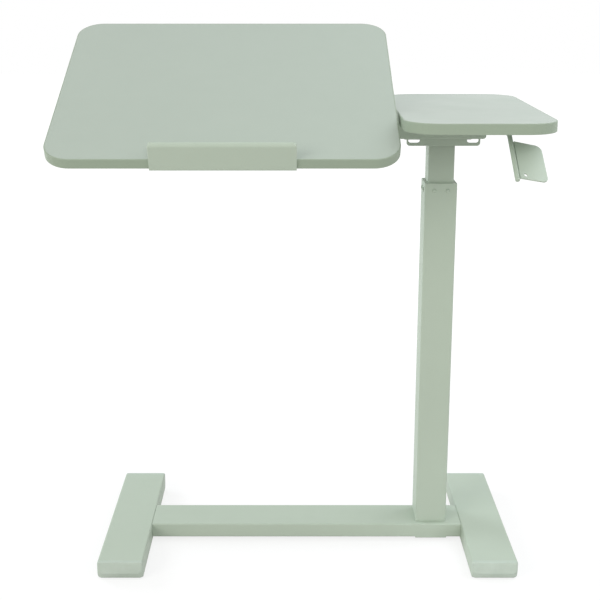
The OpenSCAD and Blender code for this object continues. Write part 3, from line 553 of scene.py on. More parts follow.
def coat(name, main, other, rubbed_highlight, wear_and_highlight=0.4, drift=6.0, share=0.5, grain=500.0, depth=3e-5, speck=0.0,
         rough=0.5, spread=0.05, stretch=(1, 1, 1), turn=0.0, metallic=0.0, specular=0.5):
    """A finish: drifting colour, specks, rubbed edges whose lighter colour is also a painted edge highlight,
    handled roughness and a fine grain as bump. Colours are sRGB, drift and grain are noise scales, depth is
    in metres, and turn is a tilt about X in degrees."""
    material = bpy.data.materials.new(name)
    material.use_nodes = True
    tree = material.node_tree
    shader = tree.nodes["Principled BSDF"]
    where = add(tree, "TexCoord").outputs["Object"]
    if turn or stretch != (1, 1, 1):
        level = add(tree, "Mapping", {"Vector": where, "Rotation": (math.radians(-turn), 0, 0)})
        where = add(tree, "Mapping", {"Vector": level.outputs[0], "Scale": stretch}).outputs[0]

    def placed(tree_group, **values):
        """Outputs of a node group in this material."""
        return add(tree, "Group", {"Place": where, **values}, node_tree=tree_group).outputs

    tone = placed(tone_group, Colour=colour(*main), Other=colour(*other), Size=drift, Share=share)["Colour"]
    pebble = placed(grain_group, Size=grain)
    # painted edge highlight with rubbed wear: along the edges the colour turns to the lighter rubbed one
    mask = placed(wear_highlight_group, Share=wear_and_highlight)["Mask"]
    if speck:
        tone = mixed(tree, maths(tree, "MULTIPLY", pebble["Speck"], speck), tone, colour(*other))
    tree.links.new(mixed(tree, mask, tone, colour(*rubbed_highlight)), shader.inputs["Base Color"])
    handled = placed(handling_group, Base=rough, Spread=spread, Size=drift * 2.3)["Roughness"]
    tree.links.new(handled, shader.inputs["Roughness"])
    bump = add(tree, "Bump", {"Height": pebble["Height"], "Strength": 0.6, "Distance": depth})
    tree.links.new(bump.outputs["Normal"], shader.inputs["Normal"])
    shader.inputs["Metallic"].default_value = metallic
    shader.inputs["Specular IOR Level"].default_value = specular
    return material


# The third colour of each finish is its rubbed edge colour. It is lighter than the main colour and also
# paints a highlight along the edges
paint = coat("paint_sage", (184, 197, 181), (179, 192, 176), (203, 214, 202), wear_and_highlight=0.45, drift=5.0,
             grain=620.0, depth=1.2e-5, rough=0.5, specular=0.35)
laminate = coat("laminate_sage", (175, 187, 175), (170, 182, 170), (190, 201, 190), wear_and_highlight=0.3, drift=4.0,
                grain=900.0, depth=1.5e-5, speck=0.25, rough=0.36)
BAND = dict(main=(157, 171, 152), other=(151, 165, 146), rubbed_highlight=(176, 189, 172), wear_and_highlight=0.35, drift=7.0,
            grain=420.0, depth=2e-5, rough=0.45, stretch=(0.12, 0.12, 1.6), specular=0.35)
edge_band = coat("edging_sage", **BAND)
panel_band = coat("edging_sage_panel", turn=TILT, **BAND)
cap_plastic = coat("cap_plastic_sage", (187, 200, 187), (183, 196, 183), (212, 223, 213), wear_and_highlight=0.4, drift=9.0,
                   grain=1100.0, depth=2e-5, rough=0.52, spread=0.04, specular=0.35)
zinc = coat("zinc_plate", (176, 180, 182), (146, 150, 156), (206, 208, 210), wear_and_highlight=0.6, drift=40.0,
            grain=900.0, depth=1e-5, rough=0.34, spread=0.09, metallic=1.0)
bright_steel = coat("bright_steel", (196, 199, 202), (170, 174, 178), (220, 222, 224), drift=30.0,
                    grain=1500.0, depth=6e-6, rough=0.22, spread=0.06, stretch=(1, 1, 0.08), metallic=1.0)
black_steel = coat("black_steel", (38, 39, 40), (26, 27, 28), (84, 86, 88), drift=14.0, grain=800.0,
                   depth=2e-5, rough=0.42, spread=0.06)
rubber = coat("glide_rubber", (58, 61, 59), (44, 47, 45), (88, 92, 89), wear_and_highlight=0.5, drift=25.0, grain=1300.0,
              depth=4e-5, speck=0.3, rough=0.78, spread=0.06, specular=0.3)
nylon = coat("nylon_natural", (222, 225, 215), (209, 212, 200), (234, 236, 228), drift=16.0, grain=700.0,
             depth=2e-5, rough=0.42, spread=0.06)
disc = coat("friction_disc", (92, 84, 74), (66, 60, 54), (120, 112, 100), drift=60.0, grain=1500.0,
            depth=5e-5, speck=0.6, rough=0.85, specular=0.25)

FINISHES = {"paint": paint, "painted_rivet": paint, "laminate": laminate, "edging": edge_band,
            "cap_plastic": cap_plastic, "zinc": zinc, "rubber": rubber, "nylon": nylon, "friction_disc": disc}


# Pieces

def mesh_of(name, skins):
    """Mesh of skins, with their points in metres."""
    points, faces, start = [], [], 0
    for point, face_sets, _ in skins:
        points.append(point)
        for face in face_sets:
            faces += (face + start).tolist()
        start += len(point)
    mesh = bpy.data.meshes.new(name)
    mesh.from_pydata((np.concatenate(points) * MM).tolist(), [], faces)
    return mesh


def make(name, body, slot, skins, material=None):
    """One piece from its skins: a mesh with the attribute for rubbed wear and painted edge highlight, smooth
    but for edges sharper than a fillet's step. It rides on its body, stands for the CAD node of its name,
    such as foot_left for Foot.left, and has the finish of its slot unless another is given."""
    mesh = mesh_of(name, skins)
    # this attribute marks the rubbed edges, which also get a painted highlight
    wear_and_highlight = mesh.attributes.new("wear_and_highlight", "FLOAT", "POINT")
    wear_and_highlight.data.foreach_set("value", np.concatenate([skin[2] for skin in skins]).astype(np.float32))
    mesh.shade_smooth()
    mesh.set_sharp_from_angle(angle=SHARP)
    mesh.materials.append(material or FINISHES[slot])
    piece = new_object(name, mesh)
    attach(piece, body)
    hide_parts(name.lower().replace(".", "_"))
    return piece


def carve(piece, skins):
    """Cuts closed skins out of a piece."""
    mesh = mesh_of("cutter", skins)
    tool = new_object("cutter", mesh)
    cut = piece.modifiers.new("cut", "BOOLEAN")
    cut.object, cut.operation, cut.solver = tool, "DIFFERENCE", "EXACT"
    done = bpy.data.meshes.new_from_object(piece.evaluated_get(bpy.context.evaluated_depsgraph_get()))
    piece.modifiers.clear()
    old, piece.data = piece.data, done
    done.name = piece.name
    bpy.data.objects.remove(tool)
    bpy.data.meshes.remove(mesh)
    bpy.data.meshes.remove(old)
    piece.data.set_sharp_from_angle(angle=SHARP)


# Base

TUBE_R, TUBE_WALL = 2.5, 2.0
FOOT_W, FOOT_H, CAP_T = 72.0, 29.0, 7.0
COLUMN_W, INNER_W = 51.0, 41.0
BOLT_Y, BOLT_Z = 20.0, 19.0
ACCESS_R = 11.0  # hole under the column, for the gas spring's nut
STRIP_W, STRIP_T, STRIP_SIDE, STRIP_H = 52.0, 1.5, 0.6, 21.0
COLUMN_BOLT = (15.5, 15.5)
RIVET_R, RIVET_H, RIVET_OFF, RIVET_DOWN = 3.5, 2.2, 10.5, 12.0
GUIDE = (46.8, 0.5, 41.4, 2.7)  # outside and bore, each with its corner radius
SINK = [(8.2, 1), (4.2, -3)]  # cone under a foot bolt's head
GLIDE = [(2, 2), (14.6, 2), (15, 1.75), (15, 1.45), (14.7, 1.3), (14.7, 1.15), (15, 1.0), (15, 0.7),
         (14.7, 0.3), (14.1, 0), (9, 0), (8.5, 0.4), (2, 0.4)]
GLIDE_WEAR_HIGHLIGHT = (0, 1, 1, 0, 0, 0, 0, 1, 1, 1, 0, 0, 0)


def tube_path(w, d):
    """Rectangle with a steel tube's corners."""
    return rect_path(w, d, TUBE_R, 8, 0.4)


def cap_skin(place):
    """Foot cap: rounded rectangles stacked from the front face back to the tube. Near the face the sides and
    the top come in by quarter circles; below, a sloping band runs from the face to a round lower edge, and
    the low corners widen towards the face. Over the face and its top edge it is scuffed and lighter as a
    painted highlight, and it is scuffed ever less upwards from below."""
    side_r, top_r, band, slope, turn, wide, scuff_h = 3.0, 1.0, 9.5, 2.34, 3.2, 5.5, 8.0
    depth = np.array([0, 0, 0.1, 0.3, 0.6, 1.0, 1.5, 2.0, 2.5, 3.0, 3.4, 3.8, 4.2, 4.6, 5.0, 5.5, 6.1, 6.6,
                      6.9, 6.97])
    inset = np.r_[0.8, np.zeros(17), 0.05, 0.12]
    side, top = rounded_off(side_r - depth, side_r) + inset, rounded_off(top_r - depth, top_r) + inset
    lower = band - slope * turn
    low = np.where(depth < turn, band - slope * depth,
                   lower * (1 - np.clip((depth - turn) / lower, 0, 1)) ** slope) + inset
    low_r = TUBE_R + wide * (1 - (depth / CAP_T) ** 2.5)
    top_corner = TUBE_R - top / 2
    rings = np.stack([
        levelled(box_path(s - FOOT_W / 2, v - FOOT_H / 2, FOOT_W / 2 - s, FOOT_H / 2 - h, (r, r, c, c),
                          8, 0.4)[0], CAP_T - d)
        for d, s, v, h, r, c in zip(depth, side, low, top, low_r, top_corner)])
    # over the front face and its top edge: scuff and a painted highlight; towards the bottom: scuff
    face_scuff_highlight = np.clip((0.9 - depth) / 0.5, 0, 1)[:, None]
    low_scuff = np.clip((scuff_h - rings[..., 1]) / scuff_h, 0, 1)
    return loft(put(place, rings), np.maximum(face_scuff_highlight, low_scuff))


bolt_skins = []
for side, sx in SIDES:
    foot = "foot_" + side
    x, _, z = middle(foot)
    low, high = span(foot)
    tube_l = high[1] - low[1]
    piece = make("Foot." + side, "base", "paint",
                 [tube(tube_path(FOOT_W, FOOT_H), TUBE_WALL, tube_l, 0.35, front_on(at(x, 0, z)))])
    sinks = [facing(at(x + sx * FOOT_W / 2, sy * BOLT_Y, BOLT_Z), (sx, 0, 0)) for sy in BOTH]
    carve(piece, [lathe(SINK, sink) for sink in sinks])
    bolt_skins += [sunk_head(*M8_SUNK, sink) for sink in sinks]
    for end, sy in ENDS:
        cap = at(x, sy * tube_l / 2, z)
        place = front_on(cap if sy < 0 else turned(cap, 2, 180))
        make(f"Foot_cap.{side}_{end}", "base", "cap_plastic", [cap_skin(place)])
        glide_x, glide_y, _ = middle(f"glide_{side}_{end}")
        make(f"Glide.{side}_{end}", "base", "rubber",
             [lathe(GLIDE, at(glide_x, glide_y - table_y, 0), wear_and_highlight=GLIDE_WEAR_HIGHLIGHT)])

x, _, z = middle("crossbar")
low, high = span("crossbar")
bar_l, bar_d, bar_h = high - low
BAR_LOW = low[2]
crossbar = make("Crossbar", "base", "paint",
                [tube(rect_path(bar_d, bar_h, TUBE_R), TUBE_WALL, bar_l, 0.5, side_on(at(x, 0, z)))])
access = [(ACCESS_R, 3), (ACCESS_R, -3)]
carve(crossbar, [lathe(access, at(column_x, 0, BAR_LOW + TUBE_WALL / 2))])

make("Foot_bolts", "base", "zinc", bolt_skins)


def strip_skin(bar_half, place):
    """Clamp strip: a U of an inner line on the crossbar and an outer line a thickness away along the normal,
    carried across the bar. The thickness is even below, and up the sides it fades by a smooth step towards
    the top and both ends, as thick paint evens it out."""
    bend_r, fade, fade_top, least, end, top = 1.0, 14.0, 4.0, 0.05, STRIP_W / 2, BAR_LOW + STRIP_H
    fold = quarter_turn(9)
    rise = np.linspace(top, BAR_LOW + bend_r + 0.3, 14)
    line = mirrored(np.vstack([
        np.c_[np.full(len(rise), -bar_half), rise],
        np.c_[-bar_half + bend_r * (1 - np.cos(fold)), BAR_LOW + bend_r * (1 - np.sin(fold))],
        [(-bar_half + bend_r + 0.4, BAR_LOW)]]))
    tilt = np.r_[np.zeros(len(rise)), fold, np.pi / 2]
    normal = mirrored(np.c_[-np.cos(tilt), -np.sin(tilt)])
    run = np.r_[end, end - 0.1, end - 0.25, end - 0.5, np.linspace(end - 1, end - fade, 12), 4]
    run = np.r_[run, -run[::-1]][:, None]
    on_side = ease(1 - np.r_[tilt, tilt[::-1]] / (np.pi / 2))
    side = least + STRIP_SIDE * ease((end - np.abs(run)) / fade) * ease((top - line[:, 1]) / fade_top)
    below = STRIP_T - 0.3 * np.clip((np.abs(run) - end + 0.5) / 0.5, 0, 1) ** 2
    thick = on_side * side + (1 - on_side) * below
    outer = line + thick[..., None] * normal
    ring = np.concatenate([outer, np.broadcast_to(line[::-1], outer.shape)], 1)
    along = np.broadcast_to(run[..., None], ring.shape[:2] + (1,))
    return loft(put(place, np.concatenate([ring, along], -1)))


under = make("Under_plate", "base", "paint", [strip_skin(bar_d / 2 + 0.02, side_on(at(column_x, 0, 0)))])
carve(under, [lathe(access, at(column_x, 0, BAR_LOW - STRIP_T / 2))])
make("Column_bolts", "base", "zinc",
     [button_head(*M8_HEAD, seat) for seat in four_below(*COLUMN_BOLT, BAR_LOW - STRIP_T)])

length, place = upright("outer_column")
make("Outer_column", "base", "paint", [tube(tube_path(COLUMN_W, COLUMN_W), TUBE_WALL, length, 0.95, place)])

dome = np.linspace(0.08, 1, 9) * np.pi / 2
rivet = np.vstack([np.c_[RIVET_R * np.sin(dome), RIVET_H * np.cos(dome)], (RIVET_R - 0.1, -0.3)])
rivet_row = moved(place, 0, 0, length / 2 - RIVET_DOWN)
make("Guide_rivets", "base", "painted_rivet",
     [lathe(rivet, front_on(moved(turned(rivet_row, 2, 90 * face), s * RIVET_OFF, -COLUMN_W / 2, 0)), 32)
      for face in range(4) for s in BOTH])


def guide_skin(outer, outer_r, bore, bore_r, length, place):
    """Square plastic ring: rounded rectangles down the outside, under the lower end and up the bore."""
    half, e = length / 2, 0.4
    stack = [(outer - 2 * e, outer_r, half), (outer, outer_r, half - e), (outer, outer_r, e - half),
             (outer - 2 * e, outer_r, -half), (bore + 2 * e, bore_r, -half), (bore, bore_r, e - half),
             (bore, bore_r, half - e), (bore + 2 * e, bore_r, half)]
    rings = np.stack([levelled(rect_path(w, w, r)[0], level) for w, r, level in stack])
    return loft(put(place, rings), 0.3, closed=True)


make("Upper_guide", "base", "nylon", [guide_skin(*GUIDE, *upright("upper_guide"))])

# Lift: column head and support beam, with heights above the floor

SHEET = 3.0  # of the head, the tray plate and the brackets
HEAD_LOW, HEAD_TOP, HEAD_HALF, HEAD_Y, WEB_Z = 673.0, 705.0, 57.0, 33.5, 687.5
SLOT_X, SLOT_HALF, SLOT_LOW, SLOT_TOP = 45.5, 9.0, 677.8, 685.8
WINDOW, WINDOW_LOW, WINDOW_TOP = 4.0, 690.69, 705.0
WEB, LUG_X = (100.0, 63.9, 1.2), 4.5  # width, depth and corner radius; from the column's axis
WELD, WEB_WELD, COLUMN_WELD = 1.7, (48.0, 31.6, 1.575), (20.9, 19.0, 685.6)
BEAM_LOW, BEAM_TOP, BEAM_HALF = 684.0, 710.0, 37.7
BEAM_WALL, BEND_R, BEAM_END = 2.5, 3.5, 5.0

length, place = upright("inner_column")
make("Inner_column", "lift", "paint", [tube(tube_path(INNER_W, INNER_W), TUBE_WALL, length, 0.4, place)])

head_slots = [box_path(s * SLOT_X - SLOT_HALF, SLOT_LOW, s * SLOT_X + SLOT_HALF, SLOT_TOP, 3.9, 10, 0.05)
              for s in BOTH]
rear_head = box_path(-HEAD_HALF, HEAD_LOW, HEAD_HALF, HEAD_TOP, (5, 5, 1, 1))
front_head = corner_path(
    [(-HEAD_HALF, HEAD_LOW), (HEAD_HALF, HEAD_LOW), (HEAD_HALF, HEAD_TOP), (WINDOW, HEAD_TOP),
     (WINDOW, WINDOW_LOW), (-WINDOW, WINDOW_LOW), (-WINDOW, HEAD_TOP), (-HEAD_HALF, HEAD_TOP)],
    (5, 5, 1, 1, 1, 1, 1, 1))
lug = box_path(12, 689, 24, 706.7, (1, 1, 5.6, 5.6))
axis = at(column_x, 0, 0)
head_skins = [plate(front_head, SHEET, 0.5, front_on(at(column_x, -HEAD_Y, 0)), head_slots),
              plate(rear_head, SHEET, 0.5, front_on(at(column_x, HEAD_Y, 0)), head_slots),
              plate(rect_path(*WEB), SHEET, 0.4, at(column_x, 0, WEB_Z))]
head_skins += [plate(lug, SHEET, 0.4, side_on(at(column_x + s * LUG_X, 0, 0))) for s in BOTH]
reach, y, rise = WEB_WELD
head_skins += [bead((-reach, sy * y, WEB_Z + sz * rise), (reach, sy * y, WEB_Z + sz * rise), WELD, Z, axis)
               for sy, sz in CORNERS]
side, reach, z = COLUMN_WELD
for s in BOTH:
    head_skins += [bead((s * side, -reach, z), (s * side, reach, z), WELD, Z, axis),
                   bead((-reach, s * side, z), (reach, s * side, z), WELD, Z, axis)]
make("Column_head", "lift", "paint", head_skins)

low, high = span("support_beam")
mid, fold_r, fold = BEAM_HALF - BEAM_WALL / 2, BEND_R - BEAM_WALL / 2, quarter_turn(8)
rise = np.r_[BEAM_LOW + BEAM_WALL / 2 + np.linspace(0, BEAM_END, 8), BEAM_TOP - BEND_R - 0.3]
channel = strip_path(mirrored(np.vstack([
    np.c_[np.full(len(rise), -mid), rise],
    np.c_[-mid + fold_r * (1 - np.cos(fold)), BEAM_TOP - BEND_R + fold_r * np.sin(fold)],
    [(-mid + fold_r + 0.3, BEAM_TOP - BEAM_WALL / 2)]])), BEAM_WALL)
beam = make("Support_beam", "lift", "paint",
            [plate(channel, high[0] - low[0], 0.5, side_on(at((low[0] + high[0]) / 2, 0, 0)),
                   trim=rounded_off(BEAM_LOW + BEAM_END - channel[0][:, 1], BEAM_END))])
carve(beam, [plate(box_path(-WINDOW, WINDOW_LOW, WINDOW, WINDOW_TOP, 1.0), 6, 0.05,
                   front_on(at(column_x, BEAM_WALL / 2 - BEAM_HALF, 0)))])

# Lift: hinge arms, bolts and tray plate

AXIS_Y, AXIS_Z, PANEL_X, HINGE_OFF = -92.0, 696.0, -112.5, 130.0
ARM_R, ARM_T, ARM_END, ARM_FLANGE_Y = 12.0, 5.0, -42.6, -40.2
ARM_WELD, ARM_WELD_OFF, ARM_WELD_Y, ARM_WELD_HALF = 1.9, 3.0, -43.2, 10.5
BUMPER_X = 90.0
BUMPER = [(0.4, 2.7), (4.8, 2.6), (5.8, 2.3), (6.4, 1.8), (6.7, 1.2), (7, 0.2), (7, 0)]
HEAD_BOLT_X, HEAD_BOLT_Z, ARM_BOLT_X = 40.0, 699.0, 20.0
HEAD_GRIP, ARM_GRIP, BOLT_L = 5.7, 7.5, 16.0
TRAY_PLATE = (110.0, 160.0, 8.0)
TRAY_SCREW, BEAM_SCREW = (45.0, 65.0), (25.0, 15.0)

arm = box_path(AXIS_Y - ARM_R, AXIS_Z - ARM_R, ARM_END, AXIS_Z + ARM_R, (11.6, 1, 1, 11.6), 10)
for side, sx in SIDES:
    hinge_x = PANEL_X + sx * HINGE_OFF
    skins = [plate(arm, ARM_T, 0.7, side_on(at(hinge_x, 0, 0))),
             plate(rect_path(60, 2 * ARM_R, 4), ARM_T, 0.7, front_on(at(hinge_x, ARM_FLANGE_Y, AXIS_Z)))]
    skins += [bead((x, ARM_WELD_Y, -ARM_WELD_HALF), (x, ARM_WELD_Y, ARM_WELD_HALF), ARM_WELD, X,
                   at(hinge_x, 0, AXIS_Z)) for x in (-ARM_WELD_OFF, ARM_WELD_OFF)]
    make("Hinge_arm." + side, "lift", "paint", skins)
    make("Bumper." + side, "lift", "rubber",
         [lathe(BUMPER, at(PANEL_X + sx * BUMPER_X, 0, BEAM_TOP), wear_and_highlight=(0, 0, 1, 1, 0, 0, 0))])

head_bolts = [facing(at(column_x + ax * HEAD_BOLT_X, ay * BEAM_HALF, HEAD_BOLT_Z), (0, ay, 0))
              for ax, ay in CORNERS]
arm_bolts = [facing(at(PANEL_X + sx * HINGE_OFF + ax * ARM_BOLT_X, -BEAM_HALF - ARM_T, AXIS_Z), (0, -1, 0))
             for _, sx in SIDES for ax in BOTH]
make("Beam_bolts", "lift", "zinc", [button_head(*M6_HEAD, bolt) for bolt in head_bolts + arm_bolts])
nut_skins = []
for bolts, grip in ((head_bolts, HEAD_GRIP), (arm_bolts, ARM_GRIP)):
    for origin, axes in bolts:
        seat = facing((origin - axes[2] * grip, axes), -axes[2])
        nut_skins += [hex_body(*M6_NUT, seat, bore=M6_THREAD + 0.1), bolt_end(M6_THREAD, BOLT_L - grip, seat)]
make("Beam_nuts", "lift", "zinc", nut_skins)

make("Tray_plate", "lift", "paint",
     [plate(rect_path(*TRAY_PLATE), SHEET, 0.6, at(column_x, 0, BEAM_TOP + SHEET / 2))])
make("Tray_screws", "lift", "zinc",
     [cross_head(*WOOD_SCREW, seat) for seat in four_below(*TRAY_SCREW, BEAM_TOP)])
make("Beam_screws", "lift", "zinc",
     [button_head(*M6_HEAD, seat) for seat in four_below(*BEAM_SCREW, BEAM_TOP - BEAM_WALL)])

# Boards

BOARD_T, BOARD_D, EDGING = 16.0, 400.0, 1.5
BROKEN = 0.14  # broken edge of the boards and of the edging's back
TRAY_R, PANEL_W, PANEL_R = 50.0, 510.0, 40.0


def board_path(w, d, r):
    """Rectangle with a board's wide corners, in fine steps."""
    return rect_path(w, d, r, 24, 1.0)


def core_skin(w, r, place):
    """Board without its edging: a plate with barely broken edges, a hair smaller than the edging's inside."""
    less = 2 * EDGING + 0.08
    return plate(board_path(w - less, BOARD_D - less, r - EDGING), BOARD_T, BROKEN, place, steps=2)


def edging_skin(w, r, place):
    """Edge band: a thin closed section with two rounded outer corners, carried round the board."""
    band_r, half = 1.15, BOARD_T / 2
    a = quarter_turn(6)
    out, run = band_r * (1 - np.sin(a)), band_r * (1 - np.cos(a))
    inset = np.r_[EDGING - BROKEN, out, 0, 0, out[::-1], EDGING - BROKEN, EDGING, EDGING]
    level = np.r_[half, half - run, half - band_r - PAD, band_r + PAD - half, (run - half)[::-1], -half,
                  BROKEN - half, half - BROKEN]
    wear_and_highlight = np.r_[0, np.ones(6), 0, 0, np.ones(6), 0, 0, 0]
    return loft(put(place, ring_stack(board_path(w, BOARD_D, r), inset, level)), wear_and_highlight, closed=True)


low, high = span("tray_edging")
tray_w, tray_place = high[0] - low[0], at((low[0] + high[0]) / 2, 0, (low[2] + high[2]) / 2)
make("Tray_board", "lift", "laminate", [core_skin(tray_w, TRAY_R, tray_place)])
make("Tray_edging", "lift", "edging", [edging_skin(tray_w, TRAY_R, tray_place)])

# Height release

ROD_Y, ROD_Z, ROD_R, ROD_LEFT = -111.5, 707.0, 3.5, column_x - 8
LEVER_X, LEVER_L, BEND, END_R = 306.5, 101.0, 12.0, 1.5
LEVER_SLOPE, DROOP = 36.2, 13.0
SADDLES = (("left", 233.0), ("right", 287.5))
SADDLE_LOW, SADDLE_BORE, SADDLE_SCREW, SCREW_BORE, SCREW_SUNK = 4.7, 3.55, 9.0, 3.7, 3.0
PADDLE_T, PADDLE_NEAR, PADDLE_FAR, PADDLE_LOW, PADDLE_TOP = 2.5, 0.8, 44.0, -95.5, -21.5
PADDLE_HOLE = (2.75, 14.0, -87.5)  # radius and place

saddle = box_path(-14, -SADDLE_LOW, 14, 6, (4, 4, 0.9, 0.9))
for side, saddle_x in SADDLES:
    piece = make("Shaft_saddle." + side, "lift", "cap_plastic",
                 [plate(saddle, 12, 0.6, side_on(at(saddle_x, ROD_Y, ROD_Z)), [round_path(SADDLE_BORE)])])
    carve(piece, [lathe([(SCREW_BORE, 3), (SCREW_BORE, -1)],
                        at(saddle_x, ROD_Y + s * SADDLE_SCREW, ROD_Z - SADDLE_LOW)) for s in BOTH])
screw_z = ROD_Z - SADDLE_LOW + SCREW_SUNK
make("Saddle_screws", "lift", "zinc",
     [cross_head(*WOOD_SCREW, facing(at(saddle_x, ROD_Y + s * SADDLE_SCREW, screw_z), DOWN))
      for _, saddle_x in SADDLES for s in BOTH])

lever = turned(at(0, ROD_Y, ROD_Z), 0, LEVER_SLOPE)
bend, end = np.linspace(np.pi / 2, 0, 14), quarter_turn(6)
rod_x = np.r_[ROD_LEFT + np.array([0, 0.3, 0.8, 1.2]), 250, 292,
              LEVER_X - BEND + BEND * np.cos(bend), np.full(len(end) + 2, LEVER_X)]
rod_v = np.r_[np.zeros(6), BEND * np.sin(bend) - BEND, -BEND - 1.5, -40, END_R * (1 - np.sin(end)) - LEVER_L]
rod_r = np.r_[ROD_R - 0.8, ROD_R - 0.25, np.full(len(rod_x) - 2 - len(end), ROD_R),
              ROD_R - END_R * (1 - np.cos(end))]
rod_line = np.c_[rod_x, rod_v, np.zeros(len(rod_x))]
make("Release_rod", "lever", "paint", [sweep(rod_line, rod_r, Z, lever, 24)])

paddle_place = turned(moved(lever, LEVER_X, 0, 0), 1, DROOP)
near, far = ROD_R + PADDLE_NEAR, ROD_R + PADDLE_FAR
paddle = corner_path([(near, PADDLE_LOW), (far, PADDLE_LOW), (far - 0.7, PADDLE_TOP - 1.8),
                      (near, PADDLE_TOP)], (1, 8.5, 10.5, 1), 10)
make("Lever_paddle", "lever", "paint",
     [plate(paddle, PADDLE_T, 0.55, paddle_place, [round_path(*PADDLE_HOLE)]),
      bead((4.0, PADDLE_LOW + 0.5, -2.0), (4.0, PADDLE_TOP - 0.5, -2.0), WELD, Z, paddle_place)])

# Tilting panel, drawn level about the tilt axis

DROP, BOARD_Y = 17.0, 92.0  # of the board's underside and middle, from the tilt axis
FRONT = BOARD_Y - BOARD_D / 2
EAR_X, GRIP_X, WASHER_X = 5.6, 7.1, 3.3  # from a hinge's middle
WASHER_R, WASHER_BORE, WASHER_T = 11.0, 5.2, 1.5
PIVOT_D, PIVOT_AF, PIVOT_END = 10.0, 17.0, 12.0
PIVOT_HEAD, PIVOT_NUT = 6.4, 7.0
NUT_COLLAR = [(5.05, 10), (6.6, 10), (7.2, 9.7), (7.5, 9.0), (7.7, 6.9), (5.05, 6.9)]
BRACKET_SCREW_X, BRACKET_SCREW_Y = (-15.0, 15.0), (-25.0, 35.0)
STOP_W, STOP_T, STOP_FLANGE, STOP_TOP, STOP_X = 208.0, 2.5, 30.0, 59.5, 2.2
ROLL_R, STOP_BEND, STOP_CORNER = 5.0, 3.0, 5.5
STOP_SCREW_X, STOP_SCREW_Y = 80.0, -94.25

level_panel = turned(at(PANEL_X, AXIS_Y, AXIS_Z), 0, TILT)
under_panel = -level_panel[1][2]
board_place = moved(level_panel, 0, BOARD_Y, DROP + BOARD_T / 2)
make("Main_panel", "panel", "laminate", [core_skin(PANEL_W, PANEL_R, board_place)])
make("Panel_edging", "panel", "edging", [edging_skin(PANEL_W, PANEL_R, board_place)], panel_band)

screw_skins, bolt_skins, washer_skins, nut_skins = [], [], [], []
ear = box_path(-11, -11, 11, 14.1, (10.6, 10.6, 0.9, 0.9), 10)
flange = box_path(-22, -35, 22, 45, 4)
washer = round_path(WASHER_R, steps=48)
for side, sx in SIDES:
    hinge = moved(level_panel, sx * HINGE_OFF, 0, 0)
    skins = [plate(flange, SHEET, 0.5, moved(hinge, 0, 0, DROP - SHEET / 2))]
    skins += [plate(ear, SHEET, 0.5, side_on(moved(hinge, s * EAR_X, 0, 0))) for s in BOTH]
    make("Panel_bracket." + side, "panel", "paint", skins)
    screw_skins += [cross_head(*WOOD_SCREW, facing(moved(hinge, x, y, DROP - SHEET), under_panel))
                    for x in BRACKET_SCREW_X for y in BRACKET_SCREW_Y]
    head_place, nut_place = (facing(moved(hinge, s * GRIP_X, 0, 0), (s, 0, 0)) for s in BOTH)
    bolt_skins += [hex_body(PIVOT_AF, PIVOT_HEAD, head_place), bolt_end(PIVOT_D, PIVOT_END, nut_place)]
    nut_skins += [hex_body(PIVOT_AF, PIVOT_NUT, nut_place, bore=PIVOT_D + 0.1), lathe(NUT_COLLAR, nut_place)]
    washer_skins += [plate(washer, WASHER_T, 0.25, side_on(moved(hinge, s * WASHER_X, 0, 0)),
                           [round_path(WASHER_BORE)]) for s in BOTH]
make("Bracket_screws", "panel", "zinc", screw_skins)
make("Pivot_bolts", "panel", "zinc", bolt_skins)
make("Lock_nuts", "panel", "zinc", nut_skins)
make("Friction_washers", "panel", "friction_disc", washer_skins)

stop_place = moved(level_panel, STOP_X, 0, 0)
mid = STOP_T / 2
stop_y, stop_z = FRONT - STOP_T, DROP - STOP_T
roll_y, roll_z = stop_y + ROLL_R, STOP_TOP - ROLL_R
bend, bend_r = np.linspace(-np.pi / 2, -np.pi, 8), STOP_BEND - mid
curl, curl_r = np.linspace(np.pi, math.radians(-60), 40), ROLL_R - mid
stop_outline = strip_path(np.vstack([
    np.c_[np.linspace(stop_y + STOP_FLANGE - mid, stop_y + STOP_BEND + 0.4, 5), np.full(5, stop_z + mid)],
    np.c_[stop_y + STOP_BEND + bend_r * np.cos(bend), stop_z + STOP_BEND + bend_r * np.sin(bend)],
    np.c_[np.full(5, stop_y + mid), np.linspace(stop_z + STOP_BEND + 0.4, roll_z - 0.4, 5)],
    np.c_[roll_y + curl_r * np.cos(curl), roll_z + curl_r * np.sin(curl)]]), STOP_T)
make("Book_stop", "panel", "paint",
     [plate(stop_outline, STOP_W, 0.5, side_on(stop_place),
            trim=rounded_off(stop_outline[0][:, 1] - (STOP_TOP - STOP_CORNER), STOP_CORNER))])
make("Book_stop_screws", "panel", "zinc",
     [cross_head(*WOOD_SCREW, facing(moved(stop_place, s * STOP_SCREW_X, STOP_SCREW_Y, stop_z), under_panel))
      for s in (-1, 0, 1)])

# Finishes of the CAD nodes that stay as they are
for name, finish in {
        "crossbar_plug_left": zinc, "crossbar_plug_right": zinc, "foot_sleeves": zinc, "column_sleeves": zinc,
        "column_foot_plate": paint, "gas_spring_cylinder": black_steel, "gas_spring_nut": zinc,
        "lower_guide": nylon, "gas_spring_rod": bright_steel, "rod_nuts": zinc, "rocker_pin": bright_steel,
        "release_finger": paint, "release_rocker": zinc, "release_pin": bright_steel}.items():
    nodes[name].data.materials.clear()
    nodes[name].data.materials.append(finish)

# Floor, backdrop and lamps: what is seen of the floor and the backdrop is nearly white, and what they throw
# back onto the table is plain studio light

